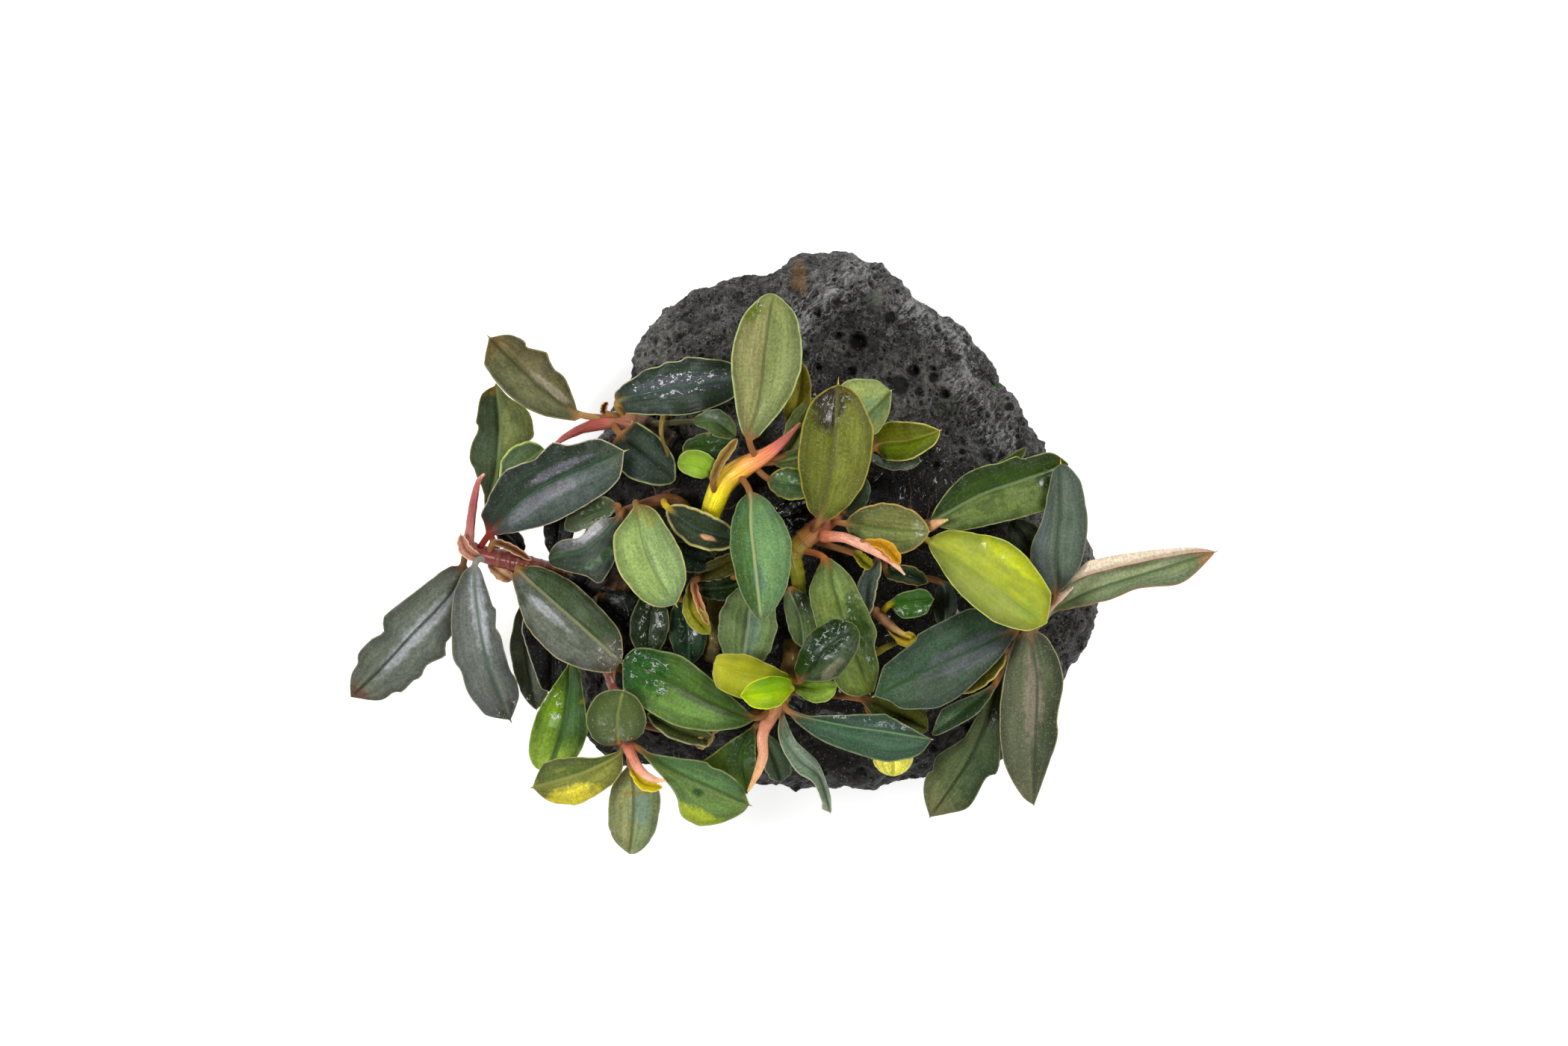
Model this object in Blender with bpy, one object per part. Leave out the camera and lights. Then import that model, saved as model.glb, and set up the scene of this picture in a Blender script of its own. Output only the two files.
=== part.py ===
"""A bucephalandra growing on a lump of black lava rock.

The lists below are in millimetres and the meshes in metres, with +Z up. The origin is the middle
of the flat underside of the rock. Every leaf is a solid loft along its midrib, every rhizome is a
tapering tube that ends in a rolled young leaf, and the rock is a worn block under all of them.
"""

import math
from dataclasses import dataclass

import bmesh
import bpy
from mathutils import Vector, noise

MM = 0.001
COLLECTION = "Bucephalandra on lava rock"
FOOT_GAP = 0.4

ROCK_HEIGHT = 34.6
ROCK_WAIST = 16.0
ROCK_SHOULDER = 0.5
ROCK_CUTS = 12
ROCK_LUMP = 2.2
ROCK_LUMP_SIZE = 17.0
ROCK_GRIT = 0.9
ROCK_GRIT_SIZE = 6.0
FACE_DEPTH = 0.85
UNDERSIDE_TUCK = 0.14
TUCK_FALL = 1.4
BASE_FALL = 1.5
TOP_FALL = 0.85
TOP_START = 0.25
CALM_HEIGHT = 6.0
CALM_WAIST = 3.0
GRIT_SHIFT = (9.0, 3.0, 5.0)

STALK_RADIUS = 0.62
LEAF_THICKNESS = 0.72
TIP_HALF_WIDTH = 0.3
BLADE_STATIONS = (0.0, 0.09, 0.24, 0.42, 0.6, 0.78, 0.92, 1.0)
SMALL_BLADE_STATIONS = (0.0, 0.14, 0.38, 0.64, 0.88, 1.0)
SMALL_LEAF = 17.0
STALK_FADE = 0.35
QUARTER_PLACE = 0.52
CROWN = 0.25
WAY_STEP = 0.05

# The rock's widest outline, seen from above, and where its top is sunk: middle, radius, depth.
ROCK_OUTLINE = [
    (43.5, -13.8), (41.8, -19.0), (39.1, -22.4), (37.0, -26.0), (35.2, -31.0), (31.9, -35.6),
    (26.3, -39.4), (20.6, -41.3), (14.8, -42.4), (6.1, -43.1), (0.0, -44.4), (-8.3, -44.0),
    (-15.0, -43.1), (-22.5, -41.9), (-28.8, -41.0), (-36.3, -40.4), (-41.9, -38.0), (-42.8, -31.3),
    (-43.1, -22.5), (-42.8, -12.5), (-41.9, -2.5), (-40.0, 7.5), (-36.9, 17.5), (-33.9, 24.4),
    (-31.8, 30.6), (-28.4, 33.8), (-23.8, 38.5), (-18.1, 40.8), (-11.3, 41.5), (-5.6, 45.0),
    (0.0, 44.8), (5.0, 43.8), (10.6, 39.6), (15.6, 36.0), (21.6, 31.4), (26.0, 26.9),
    (28.1, 20.6), (31.3, 18.4), (34.1, 11.9), (38.2, 4.0), (41.5, -3.3), (43.0, -8.0),
]
ROCK_HOLLOWS = [
    ((13.5, 11.5), 9.0, 4.5),
    ((3.5, 30.3), 3.2, 2.4),
    ((15.5, 25.0), 4.2, 2.2),
    ((19.5, -22.0), 6.0, 2.6),
    ((-24.0, -36.0), 6.0, 2.5),
    ((1.5, 9.0), 5.0, 1.4),
]
ROCK_RIDGES = [
    ((3.5, 42.0), (-3.0, 36.5), 3.0, 1.6),
    ((12.5, 36.5), (20.0, 31.0), 3.0, 1.4),
    ((20.0, 31.0), (21.5, 24.5), 3.0, 1.6),
    ((30.0, 14.0), (25.0, 8.0), 3.5, 1.2),
]

# Rhizomes and shoots: points along the middle as x, y, z, radius. The thin end is a young leaf.
RHIZOMES = {
    "rhizome_left": [
        (-34.6, -10.6, 32.6, 1.3), (-40.0, -9.4, 32.6, 1.5), (-46.9, -8.4, 30.6, 1.6), (-53.8, -6.5, 28.4, 1.6),
        (-58.6, -5.4, 27.0, 1.5), (-61.6, -4.0, 26.6, 1.4), (-61.5, -1.9, 27.8, 0.95),
        (-61.1, 1.3, 29.2, 0.85), (-60.6, 4.4, 30.6, 0.72), (-60.0, 6.9, 31.6, 0.5),
        (-59.0, 8.2, 32.2, 0.22),
    ],
    "rhizome_top_left": [
        (-26.9, 13.6, 33.9, 1.3), (-31.3, 16.2, 33.0, 1.6), (-35.6, 17.4, 32.6, 1.6),
        (-38.6, 17.0, 33.0, 1.4), (-42.2, 16.0, 34.0, 0.95), (-45.2, 14.6, 34.8, 0.7),
        (-47.5, 12.9, 35.0, 0.22),
    ],
    "rhizome_top_centre": [
        (-21.0, -23.1, 36.2, 1.1), (-20.3, -17.5, 37.6, 1.3), (-20.6, -12.5, 38.2, 1.4),
        (-21.6, -6.3, 38.6, 1.4), (-21.6, -0.6, 39.0, 1.5), (-20.3, 3.6, 40.2, 1.7),
        (-18.6, 6.9, 41.4, 1.9), (-15.4, 9.3, 42.8, 1.7), (-12.1, 11.1, 44.2, 1.3),
        (-8.8, 13.7, 45.4, 0.85), (-6.0, 16.7, 46.4, 0.22),
    ],
    "rhizome_middle": [
        (-24.2, 1.6, 35.4, 1.0), (-25.8, 3.4, 37.2, 1.2), (-28.0, 4.1, 37.8, 1.5), (-31.0, 3.5, 37.2, 1.5),
        (-34.4, 2.4, 36.8, 1.2), (-37.0, 1.9, 37.0, 0.6),
    ],
    "rhizome_centre": [
        (5.2, 15.6, 34.9, 0.7), (3.8, 12.5, 37.0, 0.9), (2.8, 6.9, 38.9, 1.2), (-0.6, 1.3, 40.6, 1.4),
        (-4.2, -1.7, 41.6, 1.8), (-7.2, -5.0, 40.8, 1.6), (-6.5, -8.8, 39.4, 1.2),
        (-6.1, -13.1, 37.8, 1.0), (-6.4, -16.2, 36.0, 0.9),
    ],
    "shoot_centre": [
        (-2.3, -2.2, 43.3, 1.0), (1.4, -2.6, 45.8, 0.95), (5.6, -4.4, 46.8, 0.9),
        (8.8, -6.2, 46.6, 0.7), (11.3, -8.6, 45.6, 0.22),
    ],
    "rhizome_right": [
        (1.2, -4.8, 35.2, 1.0), (5.4, -3.2, 37.4, 1.1), (10.0, -2.2, 39.2, 1.3), (14.4, -0.9, 40.2, 1.3),
        (16.4, -0.2, 43.2, 0.85), (18.4, 0.5, 46.0, 0.22),
    ],
    "rhizome_far_right": [
        (27.4, -22.8, 33.5, 1.2), (28.8, -19.8, 33.6, 1.4), (31.9, -17.5, 34.2, 1.5),
        (34.4, -15.4, 35.4, 1.3), (35.9, -13.7, 37.8, 0.95), (37.5, -12.3, 40.4, 0.7),
        (39.4, -10.8, 42.4, 0.22),
    ],
    "rhizome_bottom_centre": [
        (-7.8, -19.8, 36.1, 1.2), (-7.6, -23.1, 37.4, 1.5), (-8.5, -26.9, 38.0, 1.7),
        (-9.8, -30.0, 38.0, 1.6), (-11.3, -32.6, 39.0, 1.3), (-12.5, -35.6, 39.8, 1.05),
        (-12.4, -38.8, 39.6, 0.95), (-13.4, -41.9, 38.4, 0.75), (-14.8, -44.8, 37.0, 0.22),
    ],
    "rhizome_bottom_left": [
        (-38.1, -23.8, 32.6, 1.4), (-36.9, -26.7, 32.4, 1.6), (-36.0, -30.6, 32.2, 1.5),
        (-35.6, -35.0, 32.6, 1.5), (-34.5, -38.6, 34.6, 1.05), (-33.1, -41.2, 37.0, 0.9),
        (-31.0, -42.8, 38.6, 0.75), (-28.5, -43.1, 39.2, 0.22),
    ],
}

# Broken faces of the rock: the way each looks round from +X and up from level, in degrees, and how
# far above the rock's waist it leaves the outline.
ROCK_FACES = [
    (32.0, 48.0, 3.0), (78.0, 40.0, 6.0), (118.0, 42.0, 4.5), (155.0, 52.0, 6.0), (197.0, 44.0, 6.0),
    (250.0, 50.0, 7.0), (290.0, 40.0, 6.0), (335.0, 52.0, 7.0), (12.0, -42.0, 0.0),
    (58.0, -36.0, 0.0), (102.0, -44.0, 0.0), (148.0, -38.0, 0.0), (200.0, -40.0, 0.0),
    (243.0, -34.0, 0.0), (285.0, -43.0, 0.0), (322.0, -36.0, 0.0),
]


@dataclass
class Leaf:
    """One leaf. The path runs from the start of the blade to its tip, and the stalk comes before
    it: from a place along a rhizome, counted in that rhizome's points, or from a given foot."""

    path: list
    left: float
    right: float
    stem: str = ""
    place: float = 0.0
    foot: tuple = ()
    left_rise: float = 0.5
    right_rise: float = 0.5
    widest: float = 0.5
    base_power: float = 0.8
    tip_power: float = 0.62
    fold: tuple = ()


LEAVES = {
    # Around the left rhizome, out past the rock
    "leaf_far_left": Leaf(
        [(-62.8, -7.4, 26.0), (-65.0, -12.1, 27.0), (-71.3, -18.8, 26.0), (-77.5, -25.4, 21.0),
         (-81.7, -29.2, 16.5)],
        6.3, 5.3, "rhizome_left", 5.1, widest=0.5, left_rise=-0.4, right_rise=0.8,
    ),
    "leaf_left_down": Leaf(
        [(-60.0, -8.4, 29.2), (-60.2, -15.0, 30.8), (-58.5, -23.8, 27.0), (-54.8, -33.4, 18.0)],
        3.6, 5.3, "rhizome_left", 4.0, widest=0.5,
    ),
    "leaf_left_upright": Leaf(
        [(-58.3, 1.0, 23.5), (-56.3, 8.8, 26.5), (-56.2, 16.3, 27.0), (-57.0, 23.4, 25.0)],
        5.5, 5.4, "rhizome_left", 3.6, widest=0.45, left_rise=-0.2,
    ),
    "leaf_left_pale": Leaf(
        [(-55.0, 4.0, 29.2), (-53.2, 9.2, 29.8), (-49.0, 12.4, 29.0)],
        3.2, 3.0, "rhizome_left", 3.2, widest=0.55,
    ),
    "leaf_left_big": Leaf(
        [(-57.9, -1.5, 30.5), (-52.5, 4.2, 35.0), (-45.0, 8.3, 39.0), (-35.4, 12.0, 41.0)],
        5.6, 5.4, "rhizome_left", 4.4, widest=0.45, base_power=0.65, left_rise=1.2,
    ),
    "leaf_left_long": Leaf(
        [(-52.8, -8.6, 31.8), (-49.0, -11.9, 34.6), (-42.8, -17.5, 38.0), (-35.4, -21.0, 39.0)],
        5.0, 5.7, "rhizome_left", 2.8, widest=0.55, tip_power=0.5,
    ),
    "leaf_left_black_outer": Leaf(
        [(-51.9, -11.9, 24.5), (-52.3, -21.3, 23.0), (-50.5, -31.3, 20.0)],
        4.0, 2.4, "rhizome_left", 3.4, widest=0.5,
    ),
    "leaf_left_black_inner": Leaf(
        [(-49.6, -13.0, 28.6), (-48.0, -20.0, 29.0), (-47.8, -28.5, 26.6)],
        3.5, 3.2, "rhizome_left", 2.2, widest=0.5,
    ),
    "leaf_left_wet_green": Leaf(
        [(-43.8, -23.0, 32.0), (-44.8, -28.0, 31.6), (-45.6, -34.5, 30.0), (-47.3, -41.6, 26.5)],
        3.9, 5.3, "rhizome_bottom_left", 0.3, widest=0.6,
    ),
    # Around the top left rhizome
    "leaf_top_left_brown": Leaf(
        [(-43.3, 18.3, 35.0), (-48.5, 21.8, 35.6), (-54.0, 26.8, 34.0), (-58.3, 31.2, 31.0)],
        4.9, 4.8, "rhizome_top_left", 3.0, widest=0.5,
    ),
    "leaf_top_left_wet": Leaf(
        [(-36.6, 20.3, 36.0), (-31.3, 21.8, 38.0), (-23.8, 23.0, 39.5), (-16.3, 24.1, 40.0)],
        4.4, 4.5, "rhizome_top_left", 2.0, widest=0.5, base_power=1.0, tip_power=0.55,
    ),
    "leaf_left_grey": Leaf(
        [(-36.0, 14.6, 36.0), (-32.3, 11.5, 37.6), (-27.0, 7.2, 38.6)],
        3.9, 4.2, "rhizome_top_left", 2.7, widest=0.45, base_power=0.45,
    ),
    # Around the middle rhizome
    "leaf_pale_oval": Leaf(
        [(-33.6, 1.5, 41.5), (-32.5, -3.1, 44.8), (-29.9, -8.3, 45.8), (-26.9, -13.7, 44.2)],
        5.2, 6.0, "rhizome_middle", 3.7, widest=0.48, base_power=0.6,
    ),
    "leaf_bent_grey": Leaf(
        [(-36.4, -1.2, 39.8), (-40.0, -4.4, 40.0), (-43.2, -6.2, 38.2), (-45.4, -6.6, 35.2)],
        4.7, 4.2, "rhizome_middle", 4.4, widest=0.55, tip_power=0.4,
    ),
    "leaf_small_wet": Leaf(
        [(-39.4, 2.1, 36.8), (-42.0, 1.4, 35.4), (-45.6, 0.5, 33.6)],
        1.8, 2.6, "rhizome_middle", 4.9, widest=0.5,
    ),
    "leaf_black_middle": Leaf(
        [(-39.6, -12.2, 35.0), (-36.5, -14.8, 36.2), (-32.0, -18.5, 35.6)],
        3.4, 3.2, "rhizome_left", 1.25, widest=0.5,
    ),
    "leaf_wet_dark": Leaf(
        [(-29.6, -12.3, 38.6), (-31.2, -16.8, 38.8), (-31.5, -22.5, 37.8)],
        3.1, 3.2, "rhizome_top_centre", 1.7, widest=0.5,
    ),
    "leaf_tan_spot": Leaf(
        [(-27.4, 1.1, 41.4), (-22.5, -0.9, 42.6), (-16.3, -2.9, 42.6)],
        2.8, 2.8, "rhizome_middle", 2.3, widest=0.5,
    ),
    # The centre
    "leaf_top_centre": Leaf(
        [(-14.6, 14.4, 47.6), (-12.9, 20.6, 48.4), (-11.9, 29.4, 47.0), (-10.7, 38.2, 43.5)],
        5.1, 6.3, "rhizome_top_centre", 7.7, widest=0.54, base_power=0.95, left_rise=0.9,
    ),
    "leaf_centre_top": Leaf(
        [(-2.8, 0.6, 45.6), (-1.5, 6.3, 49.0), (-0.4, 14.0, 51.4), (0.1, 23.8, 50.0)],
        5.6, 6.4, "rhizome_centre", 4.0, widest=0.52,
    ),
    "leaf_behind_centre": Leaf(
        [(2.6, 15.0, 42.6), (5.6, 18.4, 43.8), (9.0, 22.0, 43.4)],
        3.8, 3.0, "rhizome_centre", 1.35, widest=0.5,
    ),
    "leaf_upper_right_small": Leaf(
        [(6.6, 12.9, 41.6), (11.9, 13.8, 43.2), (17.1, 15.4, 42.6)],
        3.2, 3.4, "rhizome_centre", 1.75, widest=0.45, base_power=0.5,
    ),
    "leaf_blue_green": Leaf(
        [(-14.5, 5.0, 46.6), (-14.3, -0.6, 48.8), (-13.5, -8.0, 49.6), (-12.6, -16.2, 47.4)],
        6.2, 3.6, "rhizome_top_centre", 6.7, widest=0.5,
    ),
    "leaf_teal": Leaf(
        [(-14.8, -9.6, 42.6), (-14.8, -16.9, 43.0), (-16.0, -25.0, 41.4)],
        4.7, 4.8, "rhizome_top_centre", 2.5, widest=0.5,
    ),
    "leaf_green_under": Leaf(
        [(-11.4, 7.4, 42.8), (-7.8, 6.4, 43.6), (-3.8, 5.9, 43.2)],
        2.8, 2.4, "rhizome_top_centre", 7.4, widest=0.5,
    ),
    "leaf_centre_olive": Leaf(
        [(-1.9, -6.0, 43.4), (-0.4, -11.3, 44.2), (1.9, -18.8, 43.2), (5.5, -28.4, 40.4)],
        5.0, 4.8, "rhizome_centre", 4.7, widest=0.5,
    ),
    "leaf_centre_wet": Leaf(
        [(-5.9, -26.2, 43.2), (-1.9, -21.4, 46.8), (3.2, -17.2, 48.0)],
        4.5, 4.3, "rhizome_bottom_centre", 1.7, widest=0.5, base_power=0.6,
    ),
    "leaf_centre_slate": Leaf(
        [(-6.3, -14.6, 41.4), (-5.7, -18.0, 41.2), (-5.0, -23.0, 40.4)],
        2.9, 2.4, "rhizome_centre", 6.6, widest=0.5,
    ),
    # The right
    "leaf_right_olive": Leaf(
        [(1.6, -0.1, 44.4), (8.1, -1.0, 44.9), (15.4, -1.4, 44.2)],
        4.2, 4.2, "rhizome_centre", 3.2, widest=0.52, right_rise=-0.4,
    ),
    "leaf_right_upper": Leaf(
        [(17.4, 1.8, 42.6), (23.8, 4.6, 44.0), (30.6, 7.0, 43.6), (38.6, 9.8, 41.2)],
        4.5, 5.3, "rhizome_right", 3.2, widest=0.5, base_power=0.6,
    ),
    "leaf_right_upright": Leaf(
        [(35.9, -10.6, 40.6), (36.7, -5.0, 43.4), (37.3, 2.5, 45.4), (37.3, 9.8, 45.6)],
        4.5, 4.5, "rhizome_far_right", 4.0, widest=0.48,
    ),
    "leaf_right_yellow": Leaf(
        [(16.6, -3.4, 42.6), (21.4, -6.9, 46.0), (28.1, -11.7, 47.4), (35.0, -16.6, 45.6)],
        6.1, 5.9, "rhizome_right", 2.7, widest=0.6,
    ),
    "leaf_far_right": Leaf(
        [(38.2, -13.4, 37.6), (44.8, -9.0, 40.0), (53.8, -7.5, 40.0), (63.0, -4.9, 37.5)],
        3.0, 4.0, "rhizome_far_right", 3.3, widest=0.38, fold=((2.9, 1.9), (1.3, 3.4)),
    ),
    "leaf_right_slate": Leaf(
        [(26.6, -18.8, 39.4), (22.0, -21.0, 41.4), (14.4, -24.8, 43.2), (6.3, -28.9, 43.4)],
        5.5, 5.7, "rhizome_far_right", 1.1, widest=0.5,
    ),
    "leaf_right_hanging": Leaf(
        [(32.8, -20.2, 37.4), (33.4, -27.0, 38.0), (33.4, -37.0, 34.0), (33.2, -47.4, 24.0)],
        3.7, 6.2, "rhizome_far_right", 2.0, widest=0.45,
    ),
    "leaf_right_diagonal": Leaf(
        [(26.8, -27.4, 34.2), (25.0, -33.4, 33.0), (21.3, -41.3, 28.5), (15.8, -49.4, 21.5)],
        5.1, 5.4, "rhizome_far_right", 0.0, widest=0.58,
    ),
    "leaf_right_small": Leaf(
        [(24.0, -27.8, 37.6), (20.9, -31.8, 38.4), (16.5, -35.3, 37.6)],
        2.4, 2.5, "rhizome_far_right", 0.8, widest=0.5,
    ),
    "leaf_small_oval": Leaf(
        [(9.2, -14.6, 40.8), (12.5, -13.5, 42.2), (16.0, -12.3, 41.4)],
        2.7, 2.7, foot=(7.2, -15.8, 34.1), widest=0.5, base_power=0.6,
    ),
    # The bottom
    "leaf_bottom_wet_green": Leaf(
        [(-15.0, -32.0, 41.4), (-20.0, -30.4, 43.0), (-28.1, -26.4, 42.6), (-35.6, -23.0, 41.4)],
        6.0, 4.9, "rhizome_bottom_centre", 3.6, widest=0.55, tip_power=0.45,
    ),
    "leaf_young_yellow": Leaf(
        [(-10.6, -25.0, 42.6), (-15.2, -25.0, 45.4), (-20.5, -23.4, 46.0)],
        3.9, 3.2, "rhizome_bottom_centre", 1.6, widest=0.55, tip_power=0.5,
    ),
    "leaf_young_lime": Leaf(
        [(-9.8, -27.8, 44.6), (-12.5, -28.0, 48.4), (-16.0, -28.6, 48.8)],
        2.7, 2.8, "rhizome_bottom_centre", 2.6, widest=0.5, base_power=0.55,
    ),
    "leaf_bottom_long": Leaf(
        [(-5.6, -32.6, 40.2), (1.3, -33.8, 41.8), (8.8, -34.9, 41.8), (15.8, -36.1, 40.6)],
        2.6, 4.2, "rhizome_bottom_centre", 2.75, widest=0.6,
    ),
    "leaf_bottom_yellow": Leaf(
        [(8.2, -35.0, 36.6), (9.3, -38.1, 36.2), (9.6, -42.3, 33.6)],
        3.3, 3.4, foot=(5.4, -31.6, 34.1), widest=0.55,
    ),
    "leaf_bottom_narrow": Leaf(
        [(-8.4, -33.8, 38.4), (-6.5, -38.8, 38.0), (-3.9, -43.6, 34.5), (-1.6, -48.3, 29.0)],
        1.9, 2.1, "rhizome_bottom_centre", 3.1, widest=0.45,
    ),
    "leaf_bottom_green": Leaf(
        [(-14.6, -35.6, 36.0), (-16.9, -40.2, 32.4), (-15.0, -45.8, 27.5)],
        3.2, 4.4, "rhizome_bottom_centre", 4.2, widest=0.45,
    ),
    "leaf_bottom_left_olive": Leaf(
        [(-37.5, -39.1, 34.2), (-41.3, -41.3, 34.2), (-45.9, -42.9, 32.6), (-51.1, -44.4, 29.0)],
        4.8, 3.2, "rhizome_bottom_left", 2.9, widest=0.55,
    ),
    "leaf_bottom_round": Leaf(
        [(-36.4, -36.7, 37.4), (-36.6, -32.5, 41.4), (-35.6, -27.9, 44.4)],
        5.3, 5.0, "rhizome_bottom_left", 3.0, widest=0.5, base_power=0.5, tip_power=0.5,
    ),
    "leaf_bottom_upright": Leaf(
        [(-34.3, -42.0, 32.0), (-34.0, -46.3, 30.6), (-34.3, -51.3, 27.0), (-34.8, -55.5, 22.5)],
        4.2, 4.1, "rhizome_bottom_left", 3.5, widest=0.5, base_power=0.6,
    ),
    "leaf_bottom_broad": Leaf(
        [(-31.2, -39.2, 35.6), (-26.9, -41.6, 36.6), (-20.6, -44.4, 36.2), (-14.7, -47.2, 34.2)],
        3.8, 5.8, "rhizome_bottom_left", 3.4, widest=0.6,
    ),
}


def straight_point(points, place):
    """The point at a place along the straight pieces between the points, counted in points."""
    index = min(int(place), len(points) - 2)
    t = place - index
    return tuple(a + (b - a) * t for a, b in zip(points[index], points[index + 1]))


def smooth_point(points, place):
    """The point at a place along a smooth curve through the points, counted in points."""
    last = len(points) - 1
    place = min(max(place, 0.0), float(last))
    index = min(int(place), last - 1)
    t = place - index
    before = points[max(index - 1, 0)]
    start = points[index]
    end = points[index + 1]
    after = points[min(index + 2, last)]
    return tuple(
        0.5 * (2 * b + (c - a) * t + (2 * a - 5 * b + 4 * c - d) * t**2 + (3 * b - a - 3 * c + d) * t**3)
        for a, b, c, d in zip(before, start, end, after)
    )


def stalk_foot(leaf):
    """Where the stalk begins, a small gap away from its rhizome's skin."""
    if leaf.foot:
        return leaf.foot
    stem = RHIZOMES[leaf.stem]
    index = min(int(leaf.place), len(stem) - 2)
    x, y, z, radius = straight_point(stem, leaf.place)
    middle = Vector((x, y, z))
    along = (Vector(stem[index + 1][:3]) - Vector(stem[index][:3])).normalized()
    reach = Vector(leaf.path[0]) - middle
    out = reach - along * reach.dot(along)
    slant = abs(reach.dot(along)) / reach.length
    return tuple(middle + out.normalized() * (radius + FOOT_GAP + STALK_RADIUS * slant))


def blade_share(leaf, s):
    """Half width at a place along the blade, as a share of the widest."""
    if s <= 0.0 or s >= 1.0:
        return 0.0
    x = s ** (math.log(0.5) / math.log(leaf.widest))
    power = leaf.base_power if x < 0.5 else leaf.tip_power
    return math.sin(math.pi * x) ** power


def leaf_section(leaf, s):
    """The blade's middle surface across the leaf: offset to the left and height, edge to edge."""
    share = blade_share(leaf, s)
    left = leaf.left * share
    right = leaf.right * share
    if leaf.fold:
        (crest, crest_rise), (edge, edge_rise) = leaf.fold
        outer = (edge * share, edge_rise * share)
        inner = (crest * share, crest_rise * share)
    else:
        outer = (left, leaf.left_rise * share)
        inner = (QUARTER_PLACE * left, (0.5 * leaf.left_rise + CROWN) * share)
    return [
        outer,
        inner,
        (0.0, 0.0),
        (-QUARTER_PLACE * right, (0.5 * leaf.right_rise + CROWN) * share),
        (-right, leaf.right_rise * share),
    ]


def leaf_frames(leaf):
    """The stations from the stalk's foot to the tip: middle, side way, up way, blade place."""
    path = [stalk_foot(leaf)] + leaf.path
    reach = sum(math.dist(a, b) for a, b in zip(leaf.path, leaf.path[1:]))
    blade = SMALL_BLADE_STATIONS if reach < SMALL_LEAF else BLADE_STATIONS
    places = [(0.0, -1.0)]
    places += [(1.0 + s * (len(path) - 2), s) for s in blade]
    for place, s in places:
        middle = Vector(smooth_point(path, place))
        ahead = Vector(smooth_point(path, place + WAY_STEP))
        behind = Vector(smooth_point(path, place - WAY_STEP))
        way = (ahead - behind).normalized()
        side = Vector((-way.y, way.x, 0.0)).normalized()
        up = way.cross(side)
        yield middle, side, up, s


def leaf_ring(leaf, middle, side, up, s):
    """Eight points round the leaf at one station: left edge, over the top, right edge, underneath."""
    half = LEAF_THICKNESS / 2
    line = leaf_section(leaf, s) if s >= 0 else [(0.0, 0.0)] * 5
    stalk = STALK_RADIUS * max(0.0, 1.0 - max(s, 0.0) / STALK_FADE)
    least = max(TIP_HALF_WIDTH, stalk)
    above = []
    below = []
    for index, (offset, rise) in enumerate(line):
        turn = math.pi * index / 4
        offset += least * math.cos(turn)
        thick = max(half, stalk)
        lift = thick * math.sin(turn) if index in (1, 3) else thick
        if index in (0, 4):
            above.append(middle + side * offset + up * rise)
            continue
        above.append(middle + side * offset + up * (rise + lift))
        below.append(middle + side * offset + up * (rise - lift))
    return above + below[::-1]


def skin_rings(mesh_data, rings):
    """Joins rings of equal length into one closed tube."""
    loops = [[mesh_data.verts.new(point * MM) for point in ring] for ring in rings]
    count = len(rings[0])
    for first, second in zip(loops, loops[1:]):
        for index in range(count):
            after = (index + 1) % count
            mesh_data.faces.new((first[index], first[after], second[after], second[index]))
    mesh_data.faces.new(loops[0][::-1])
    mesh_data.faces.new(loops[-1])
    bmesh.ops.recalc_face_normals(mesh_data, faces=mesh_data.faces)


def finish_mesh(name, mesh_data, material, collection):
    """Writes the mesh to a new object in the part's collection."""
    bmesh.ops.triangulate(mesh_data, faces=mesh_data.faces)
    mesh = bpy.data.meshes.new(name)
    mesh_data.to_mesh(mesh)
    mesh_data.free()
    mesh.shade_smooth()
    mesh.materials.append(material)
    made = bpy.data.objects.new(name, mesh)
    collection.objects.link(made)
    return made


def make_leaf(name, leaf, material, collection):
    mesh_data = bmesh.new()
    rings = [leaf_ring(leaf, *station) for station in leaf_frames(leaf)]
    skin_rings(mesh_data, rings)
    return finish_mesh(name, mesh_data, material, collection)


def make_rhizome(name, points, material, collection):
    """A tapering tube through the points, with each point's own radius."""
    curve = bpy.data.curves.new(name, "CURVE")
    curve.dimensions = "3D"
    curve.bevel_depth = MM
    curve.bevel_resolution = 2
    curve.use_fill_caps = True
    line = curve.splines.new("POLY")
    line.points.add(len(points) - 1)
    for spot, (x, y, z, radius) in zip(line.points, points):
        spot.co = (x * MM, y * MM, z * MM, 1.0)
        spot.radius = radius
    curve.materials.append(material)
    made = bpy.data.objects.new(name, curve)
    collection.objects.link(made)
    return made


def rock_reach(angle):
    """The outline's distance from the middle at an angle, read between its points."""
    turns = sorted((math.atan2(y, x), math.hypot(x, y)) for x, y in ROCK_OUTLINE)
    turns = [(turns[-1][0] - math.tau, turns[-1][1])] + turns + [(turns[0][0] + math.tau, turns[0][1])]
    for (first, near), (second, far) in zip(turns, turns[1:]):
        if first <= angle <= second:
            share = (angle - first) / (second - first)
            return near + (far - near) * share
    return turns[0][1]


def ridge_lift(x, y):
    """How far the ridges raise the rock's top here."""
    lift = 0.0
    for (ax, ay), (bx, by), width, height in ROCK_RIDGES:
        along = ((x - ax) * (bx - ax) + (y - ay) * (by - ay)) / ((bx - ax) ** 2 + (by - ay) ** 2)
        along = min(max(along, 0.0), 1.0)
        away = math.hypot(x - ax - along * (bx - ax), y - ay - along * (by - ay))
        lift = max(lift, height * max(0.0, 1.0 - (away / width) ** 2))
    return lift


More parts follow.
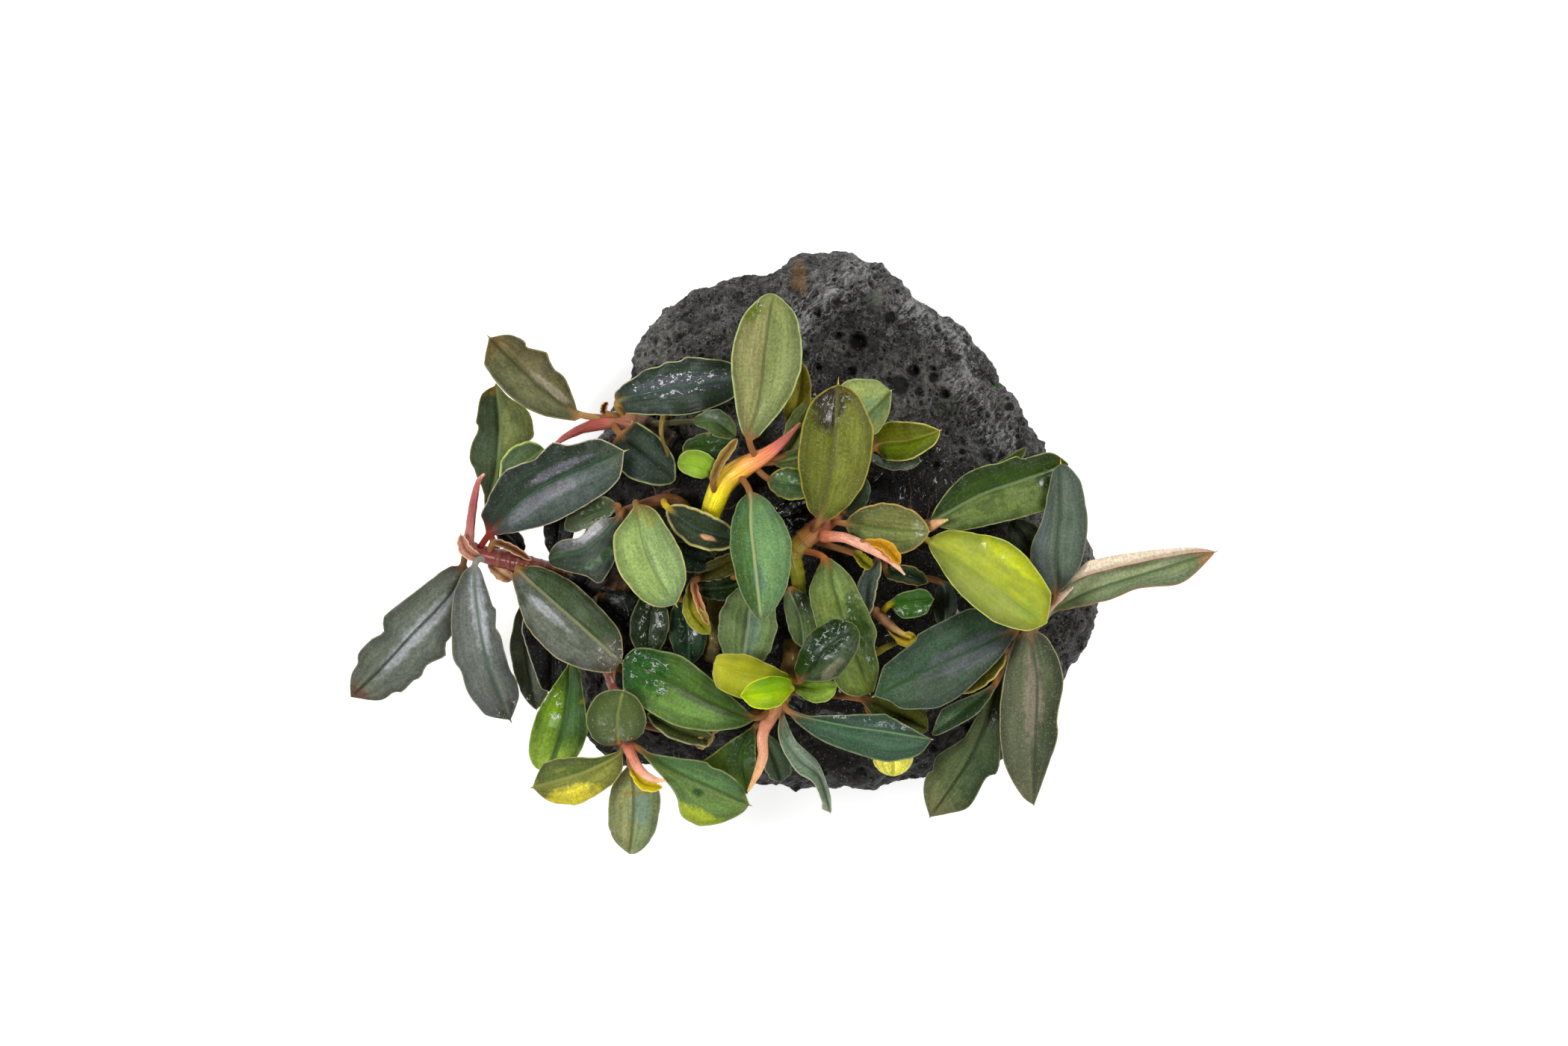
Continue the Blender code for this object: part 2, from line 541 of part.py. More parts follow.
def face_planes():
    """Each broken face as the way it looks and its distance from the middle of the rock's waist."""
    for turn, tilt, lift in ROCK_FACES:
        turn = math.radians(turn)
        tilt = math.radians(tilt)
        reach = max(x * math.cos(turn) + y * math.sin(turn) for x, y in ROCK_OUTLINE)
        level = math.cos(tilt)
        facing = Vector((math.cos(turn) * level, math.sin(turn) * level, math.sin(tilt)))
        yield facing, reach * level + lift * math.sin(tilt)


def break_faces(spot, planes):
    """Presses a point back to the rock's flat broken faces."""
    waist = Vector((0.0, 0.0, ROCK_WAIST))
    for facing, distance in planes:
        beyond = (spot - waist).dot(facing) - distance
        if beyond > 0.0:
            spot = spot - facing * beyond * FACE_DEPTH
    return spot


def rock_point(way, planes):
    """Carries a point of the unit ball out to the rock's skin."""
    flat = math.hypot(way.x, way.y)
    angle = math.atan2(way.y, way.x)
    reach = rock_reach(angle) * flat**ROCK_SHOULDER
    if way.z < 0:
        reach *= 1.0 - UNDERSIDE_TUCK * min(1.0, -TUCK_FALL * way.z)
        z = ROCK_WAIST * (1.0 - min(1.0, -BASE_FALL * way.z))
    else:
        z = ROCK_WAIST + (ROCK_HEIGHT - ROCK_WAIST) * way.z**TOP_FALL
    x = reach * math.cos(angle)
    y = reach * math.sin(angle)
    spot = Vector((x, y, z))
    lump = noise.noise(spot / ROCK_LUMP_SIZE) * ROCK_LUMP
    grit = noise.noise(spot / ROCK_GRIT_SIZE + Vector(GRIT_SHIFT)) * ROCK_GRIT
    spot = break_faces(spot, planes)
    out = Vector((way.x, way.y, max(way.z, 0.0))).normalized()
    if way.z > TOP_START:
        for (hx, hy), radius, depth in ROCK_HOLLOWS:
            away = math.hypot(x - hx, y - hy) / radius
            if away < 1.0:
                spot.z -= depth * (1.0 - away**2) ** 1.5
        spot.z += ridge_lift(x, y)
    if z > 0.0:
        calm = min(1.0, z / CALM_HEIGHT) * min(1.0, CALM_WAIST * abs(way.z))
        spot += out * (lump + grit) * calm
    return spot


def make_rock(material, collection):
    planes = list(face_planes())
    mesh_data = bmesh.new()
    bmesh.ops.create_cube(mesh_data, size=2.0)
    bmesh.ops.subdivide_edges(mesh_data, edges=mesh_data.edges, cuts=ROCK_CUTS, use_grid_fill=True)
    for vert in mesh_data.verts:
        even = Vector([math.tan(value * math.pi / 4) for value in vert.co])
        vert.co = rock_point(even.normalized(), planes) * MM
    bmesh.ops.recalc_face_normals(mesh_data, faces=mesh_data.faces)
    return finish_mesh("lava_rock", mesh_data, material, collection)


def make_material(name, colour, roughness):
    material = bpy.data.materials.new(name)
    material.use_nodes = True
    shader = material.node_tree.nodes["Principled BSDF"]
    shader.inputs["Base Color"].default_value = (*colour, 1.0)
    shader.inputs["Roughness"].default_value = roughness
    return material


def clear_scene():
    for item in list(bpy.data.objects):
        bpy.data.objects.remove(item, do_unlink=True)


def main():
    clear_scene()
    collection = bpy.data.collections.new(COLLECTION)
    bpy.context.scene.collection.children.link(collection)
    basalt = make_material("Black lava rock", (0.03, 0.03, 0.032), 0.8)
    rhizome = make_material("Pink brown rhizome", (0.45, 0.16, 0.1), 0.45)
    green = make_material("Dark green leaf", (0.06, 0.11, 0.04), 0.4)
    make_rock(basalt, collection)
    for name, points in RHIZOMES.items():
        make_rhizome(name, points, rhizome, collection)
    for name, leaf in LEAVES.items():
        make_leaf(name, leaf, green, collection)


main()
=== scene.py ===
"""Looks for a bucephalandra growing on a lump of black lava rock.

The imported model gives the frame. Each CAD leaf and rhizome is replaced by a finer one on the same
midrib, the rock by a fine skin of the same form, and the leaves, sheaths and roots that are too
small for the solids are added where they grow. Lists of places are in millimetres.
"""

import math
import random
from dataclasses import dataclass

import bmesh
import bpy
import numpy as np
from bpy.props import FloatProperty, FloatVectorProperty, IntProperty
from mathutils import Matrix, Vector, noise
from mathutils.bvhtree import BVHTree


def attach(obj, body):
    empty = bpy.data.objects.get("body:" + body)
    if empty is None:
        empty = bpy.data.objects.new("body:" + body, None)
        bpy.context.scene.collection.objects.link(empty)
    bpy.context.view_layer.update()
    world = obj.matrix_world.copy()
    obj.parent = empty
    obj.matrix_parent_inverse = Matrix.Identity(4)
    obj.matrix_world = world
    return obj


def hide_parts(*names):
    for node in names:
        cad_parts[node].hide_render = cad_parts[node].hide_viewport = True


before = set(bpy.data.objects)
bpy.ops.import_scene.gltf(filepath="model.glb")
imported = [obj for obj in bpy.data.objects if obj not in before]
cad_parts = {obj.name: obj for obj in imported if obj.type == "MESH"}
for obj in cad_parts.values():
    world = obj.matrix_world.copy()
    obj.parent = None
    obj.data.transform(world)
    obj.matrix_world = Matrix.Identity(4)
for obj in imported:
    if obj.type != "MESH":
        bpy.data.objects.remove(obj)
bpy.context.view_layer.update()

bl_info = {
    "name": "Bucephalandra on lava rock",
    "version": (1, 0, 0),
    "blender": (4, 5, 0),
    "location": "View3D > Sidebar > Plant",
    "description": "Builds the leaves, rhizomes, roots and lava rock of a small water plant",
    "category": "Add Mesh",
}

MM = 0.001
BODY = "root"
PIECE_MARK = "_grown"

# How points are spread from the midrib to the margin, over one half of a leaf
HALF_ACROSS = (0.0, 0.045, 0.09, 0.15, 0.23, 0.32, 0.42, 0.52, 0.63, 0.73, 0.82, 0.9, 0.95, 0.985, 1.0)
# Stations along a leaf: on its stalk, its blade and the bristle at its tip
STALK_STATIONS = 8
BLADE_STATIONS = 60
SMALL_BLADE_STATIONS = 30
SMALL_REACH = 14.0
MUCRO_STATIONS = 4
MUCRO_DROOP = 0.35
END_CROWDING = 0.7
WAY_STEP = 0.03
# The stalk: how deep it starts in what it grows from, and where it fades and sinks into the blade
STALK_DEPTH = 0.5
FOOT_SINK = 1.0
STALK_FADE = 0.42
STALK_SUNK = 0.75
STALK_SINKS = (-0.1, 0.12)
# The blade across: its crown and rise, its midrib's groove, its edge, and a folded half
CROWN = 0.25
RISE_BEND = 1.2
RIB_GROOVE_WIDTH = 0.42
RIB_UNDER_SHARE = 0.9
RIB_STARTS = (0.0, 0.12)
RIB_ENDS = (0.86, 1.0)
EDGE_FALL = 8.0
BLADE_STARTS = (-0.12, 0.06)
QUARTER_PLACE = 0.52
FOLD_OVER = (0.08, 0.4)
FAR_FROM_MARGIN = 9.0
# The blade along: its pointed tail, its wedged base and its least width
TIP_HALF_WIDTH = 0.14
BLADE_START = -0.02
TAIL_START = 0.78
TAIL_BULGE = 0.35
WEDGE_END = 0.2
WEDGE_SHARE = 0.6
EDGE_STEPS = 6
# Waves and unevenness: scallops along a margin, its tremble, and a swelling of the whole blade
SCALLOP_DRIFT = 0.03
DRIFT_TURNS = 2.3
SCALLOP_POWER = 0.8
UNEVENNESS = 0.3
UNEVEN_TURNS = 1.6
CALM_RISE = 1.7
WAVE_SHIFT = 0.06
WAVE_HEIGHT = 2.6
WAVE_FALL = 2.6
SEEN_RUFFLE = 0.12
EDGE_TREMBLE = 0.12
SEEN_TREMBLE = 0.06
TREMBLES = 24
BROAD_LEAF = 5.0
SWELL_SCALE = 0.28
SWELL_HEIGHT = 0.5
SWELL_RISE = 1.4
# Least values, so that nothing is divided by zero
LEAST_LENGTH = 1e-3
TINY = 1e-9

# Rootlets: their faces round, where they start along a stem, how they wander and how thick they are
ROOT_SIDES = 6
ROOT_STEP = 0.7
ROOT_PLACES = (0.2, 0.6)
ROOT_DROP = 7.0
ROOT_CLIMB = 2.5
ROOT_SWING = 0.34
ROOT_THICKNESSES = (0.7, 1.2)
ROOT_LENGTHS = (0.5, 1.2)
ROOT_START_DEPTH = 0.6
ROOT_FLARE = 1.2
ROOT_THINNING = 0.75
ROOT_UNEVENNESS = 0.04 * MM
LEAST_STEPS = 3
ROOT_COLOURS = ((0, "785434"), (0.5, "604c36"), (1, "40382e"))

# The part of the rock's top that shows, as two corners seen from above, and how finely it is cut
BARE_CORNERS = ((-31.0, 4.0), (44.0, 46.0))
BARE_TILT = -0.05
BARE_CUTS = 1
MERGE_DISTANCE = 0.01 * MM
# The walls and lips of its gas pits, as shares of each radius, and its worn edges
PIT_LEAST_HEIGHT = 12.0
PIT_WALL = (0.45, 1.0)
LIP_PLACE = 1.15
LIP_WIDTH = 0.2
LIP_HEIGHT = 0.18
CREST_HEIGHT = 0.7
# How far from each crest the pale streaks are painted stronger, as a painted highlight
CREST_GLOW = 3.6
# Colours on the rock, the scars on the stems, and the dots and the painted bright highlights on the leaves
STREAK_COLOUR = "b8b8b8"
# Painted highlight on the fine ridges of the rock
RIDGE_HIGHLIGHT_COLOUR = "acaba8"
# Painted highlight on the lips of the small holes
LIP_HIGHLIGHT_COLOUR = "848482"
# Painted shade inside the holes and the deep pits
HOLE_SHADE_COLOUR = "0c0b0b"
# Painted highlight along the crests
CREST_HIGHLIGHT_COLOUR = "b2b2b0"
# The damp colour also paints the shade under the leaves and low on the rock
DAMP_AND_SHADE_COLOUR = "0d0c0c"
# Painted highlights: the small glints on the rock
PAINTED_GLINT_COLOUR = "bebeba"
SCAR_COLOUR = "96704c"
DOT_COLOUR = (0.5, 0.54, 0.42, 1.0)
# Painted highlight colour: the white glints painted on the wet parts of the leaves
PAINTED_HIGHLIGHT_COLOUR = (0.86, 0.88, 0.88, 1.0)

# The stage
FLOOR_SIZE = 8.0
FLOOR_GREY = 0.82
WHITE = (1.0, 1.0, 1.0, 1.0)
ROOM_LIGHT = 0.07
PLANT_HEIGHT = 35.0 * MM
VIEW_MIDDLE = (-8.8 * MM, 0.0)
SENSOR_WIDTH = 36.0
VIEW_END = 20.0
# Soft lights: name, place, size and share of the power
LIGHTS = (
    ("light left", (-0.75, -0.05, 0.85), 0.4, 1.1),
    ("light top right", (0.55, 0.5, 0.9), 0.4, 1.1),
    ("light below", (0.35, -0.95, 0.75), 0.7, 0.75),
)


@dataclass
class Stem:
    """One rhizome, shoot or bare stalk: points along its middle as x, y, z and radius, its colours
    from the old end to the young one, each with its share of the way, and where its rings end. The
    thin end of a rhizome is its rolled young leaf."""

    points: list
    colours: list
    ring_end: float = 0.62


@dataclass
class Mark:
    """An oval mark on a blade: its colour, its place along the blade from 0 to 1 and left of the
    midrib in millimetres, its reach along and across in the same way, and how strongly it shows.
    On some dark leaves a grey mark is a painted sheen."""

    colour: str
    along: float
    across: float
    length: float
    width: float
    amount: float = 0.7


@dataclass
class Look:
    """The finish of one leaf. Colours are red, green and blue as two hexadecimal digits each. The
    blade is left, right and, from tip_from on, tip. A colour that isn't given is like the left
    half, and the rim and the rib are a paler and a darker shade of the blade. Fleck is how bright
    the painted highlights on the wet mark are, white glints painted into its colour, and film how
    glossy the mark is. Ruffle is how strongly the left and the right margin wave, waves the number
    of scallops, point how acute the tip is, and mucro the length of its bristle."""

    left: str
    right: str = ""
    tip: str = ""
    tip_from: float = 0.6
    rim: str = ""
    rim_width: float = 0.18
    rib: str = ""
    rib_width: float = 0.26
    speckle: float = 0.5
    mottle: str = ""
    mottle_amount: float = 0.45
    veins: float = 1.0
    patch: Mark = None
    wet: Mark = None
    fleck: float = 0.0
    film: float = 0.8
    under: str = "96916e"
    stalk: str = "875f3c"
    ruffle: tuple = (0.12, 0.12)
    waves: float = 5.0
    point: float = 0.8
    mucro: float = 0.1
    mucro_colour: str = "bea55f"
    roughness: float = 0.44


@dataclass
class Leaf:
    """One leaf. The path runs from the start of the blade to its tip, and the stalk comes before
    it: from a place along a rhizome, counted in that rhizome's points, or from a given foot. Edges
    are the margins seen in the photograph, as x and y from base to tip, first the one left of the
    midrib. A leaf without them has a half width left and right instead."""

    path: list
    look: Look
    stem: str = ""
    place: float = 0.0
    left: float = 0.0
    right: float = 0.0
    foot: tuple = ()
    left_rise: float = 0.5
    right_rise: float = 0.5
    widest: float = 0.5
    base_power: float = 0.8
    tip_power: float = 0.62
    fold: tuple = ()
    edges: tuple = ()


# Rhizomes with their side shoots and rolled young leaves
RHIZOMES = {
    "rhizome_left": Stem(
        [(-34.6, -10.6, 32.6, 1.3), (-40, -9.4, 32.6, 1.5), (-46.9, -8.4, 30.6, 1.6),
        (-53.8, -6.5, 28.4, 1.6), (-58.6, -5.4, 27, 1.5), (-61.6, -4, 26.6, 1.4), (-61.5, -1.9, 27.8, 0.95),
        (-61.1, 1.3, 29.2, 0.85), (-60.6, 4.4, 30.6, 0.72), (-60, 6.9, 31.6, 0.5), (-59, 8.2, 32.2, 0.22)],
        [(0, "3c2c20"), (0.26, "5e3a2c"), (0.42, "5c2624"), (0.6, "743430"), (0.68, "b07466"),
        (0.86, "984c4c"), (0.97, "b4625e"), (1, "ecb096")], 0.56),
    "rhizome_top_left": Stem(
        [(-26.9, 13.6, 33.9, 1.3), (-31.3, 16.2, 33, 1.6), (-35.6, 17.4, 32.6, 1.6), (-38.6, 17, 33, 1.4),
        (-42.2, 16, 34, 0.95), (-45.2, 14.6, 34.8, 0.7), (-47.5, 12.9, 35, 0.22)],
        [(0, "2c281e"), (0.24, "46382a"), (0.4, "b47c62"), (0.62, "964c42"), (0.8, "8e4642"),
        (1, "a8605a")], 0.4),
    "rhizome_top_centre": Stem(
        [(-21, -23.1, 36.2, 1.1), (-20.3, -17.5, 37.6, 1.3), (-20.6, -12.5, 38.2, 1.4),
        (-21.6, -6.3, 38.6, 1.4), (-21.6, -0.6, 39, 1.5), (-20.3, 3.6, 40.2, 1.9), (-18.6, 6.9, 41.4, 2.1),
        (-15.4, 9.3, 42.8, 1.9), (-12.1, 11.1, 44.2, 1.4), (-8.8, 13.7, 45.4, 0.85),
        (-6, 16.7, 46.4, 0.22)],
        [(0, "4c4220"), (0.3, "6e681e"), (0.48, "b4aa1a"), (0.6, "e6d428"), (0.7, "eab83a"),
        (0.8, "e08a54"), (0.9, "be6256"), (1, "c47a66")], 0.5),
    "rhizome_middle": Stem(
        [(-24.2, 1.6, 35.4, 0.7), (-25.8, 3.4, 37.2, 0.9), (-28, 4.1, 37.8, 1.1), (-31, 3.5, 37.2, 1.1),
        (-34.4, 2.4, 36.8, 0.9), (-37, 1.9, 37, 0.5)],
        [(0, "4c3e22"), (0.4, "704828"), (0.65, "68402a"), (1, "705038")], 0.0),
    "rhizome_centre": Stem(
        [(5.2, 15.6, 34.9, 0.7), (3.8, 12.5, 37, 0.9), (2.8, 6.9, 38.9, 1.2), (-0.6, 1.3, 40.6, 1.4),
        (-4.2, -1.7, 41.6, 1.8), (-7.2, -5, 40.8, 1.6), (-6.5, -8.8, 39.4, 1.2), (-6.1, -13.1, 37.8, 1),
        (-6.4, -16.2, 36, 0.9)],
        [(0, "564e28"), (0.25, "785432"), (0.42, "9c583c"), (0.54, "ac6442"), (0.62, "886e2c"),
        (0.75, "848624"), (1, "747828")], 1.0),
    "shoot_centre": Stem(
        [(-2.3, -2.2, 43.3, 1), (1.4, -2.6, 45.8, 0.95), (5.6, -4.4, 46.8, 0.9), (8.8, -6.2, 46.6, 0.7),
        (11.3, -8.6, 45.6, 0.22)],
        [(0, "b06244"), (0.15, "c67c60"), (0.4, "dca288"), (0.75, "da9a82"), (0.93, "e6b496"),
        (1, "f6deb2")], 0.04),
    "rhizome_right": Stem(
        [(1.2, -4.8, 35.2, 1), (5.4, -3.2, 37.4, 1.1), (10, -2.2, 39.2, 1.3), (14.4, -0.9, 40.2, 1.3),
        (16.4, -0.2, 43.2, 0.85), (18.4, 0.5, 46, 0.22)],
        [(0, "605028"), (0.45, "96683c"), (0.75, "c4845e"), (0.9, "e2ac80"), (1, "f0d68c")], 0.6),
    "rhizome_far_right": Stem(
        [(27.4, -22.8, 33.5, 1.2), (28.8, -19.8, 33.6, 1.4), (31.9, -17.5, 34.2, 1.5),
        (34.4, -15.4, 35.4, 1.3), (35.9, -13.7, 37.8, 0.95), (37.5, -12.3, 40.4, 0.7),
        (39.4, -10.8, 42.4, 0.22)],
        [(0, "4c3a28"), (0.35, "5c4430"), (0.6, "8a6246"), (0.75, "c89c84"), (0.9, "ecc8b2"),
        (1, "f0dcc8")], 0.5),
    "rhizome_bottom_centre": Stem(
        [(-7.8, -19.8, 36.1, 1.2), (-7.6, -23.1, 37.4, 1.5), (-8.5, -26.9, 38, 1.7), (-9.8, -30, 38, 1.6),
        (-11.3, -32.6, 39, 1.3), (-12.5, -35.6, 39.8, 1.05), (-12.4, -38.8, 39.6, 0.95),
        (-13.4, -41.9, 38.4, 0.75), (-14.8, -44.8, 37, 0.22)],
        [(0, "64521e"), (0.3, "845f34"), (0.48, "9a6844"), (0.62, "c48468"), (0.8, "d89e76"),
        (1, "e2b068")], 0.5),
    "rhizome_bottom_left": Stem(
        [(-38.1, -23.8, 32.6, 1.4), (-36.9, -26.7, 32.4, 1.6), (-36, -30.6, 32.2, 1.5),
        (-35.6, -35, 32.6, 1.5), (-34.5, -38.6, 34.6, 1.05), (-33.1, -41.2, 37, 0.9),
        (-31, -42.8, 38.6, 0.75), (-28.5, -43.1, 39.2, 0.22)],
        [(0, "683c2e"), (0.3, "804238"), (0.5, "9c4e3c"), (0.66, "ce7e68"), (0.9, "eeac8e"), (1, "f0be8c")],
        0.5),
}

# Bare stalks and old stems between the leaves
STUBS = {
    "stub_right_pink": Stem(
        [(6.4, -14.6, 37, 0.8), (8.2, -16.4, 38.8, 0.8), (10.4, -18.2, 39.8, 0.6),
        (12.4, -19.2, 39.6, 0.3)],
        [(0, "966c3c"), (0.4, "c48c6e"), (0.75, "c8a05a"), (1, "c4aa3c")]),
    "stub_right_olive": Stem(
        [(6.6, -21.8, 36.4, 0.6), (8.6, -20.6, 37.6, 0.5), (10.6, -19.9, 37.8, 0.4),
        (12, -20.2, 36.8, 0.3)],
        [(0, "786e1e"), (0.5, "968c28"), (1, "827424")]),
    "stub_upper_ochre": Stem(
        [(-27.4, 17, 35.8, 0.5), (-28.9, 18, 38.2, 0.42), (-29.3, 14.8, 39.4, 0.38),
        (-28.2, 11.2, 38.6, 0.25)],
        [(0, "6e5626"), (0.5, "786428"), (1, "62522a")]),
    "stub_centre_ochre": Stem(
        [(-17, -12, 39.2, 0.7), (-17.6, -14.6, 39.8, 0.6), (-18.8, -17.6, 38.8, 0.4)],
        [(0, "968228"), (0.5, "a68c32"), (1, "785a28")]),
}


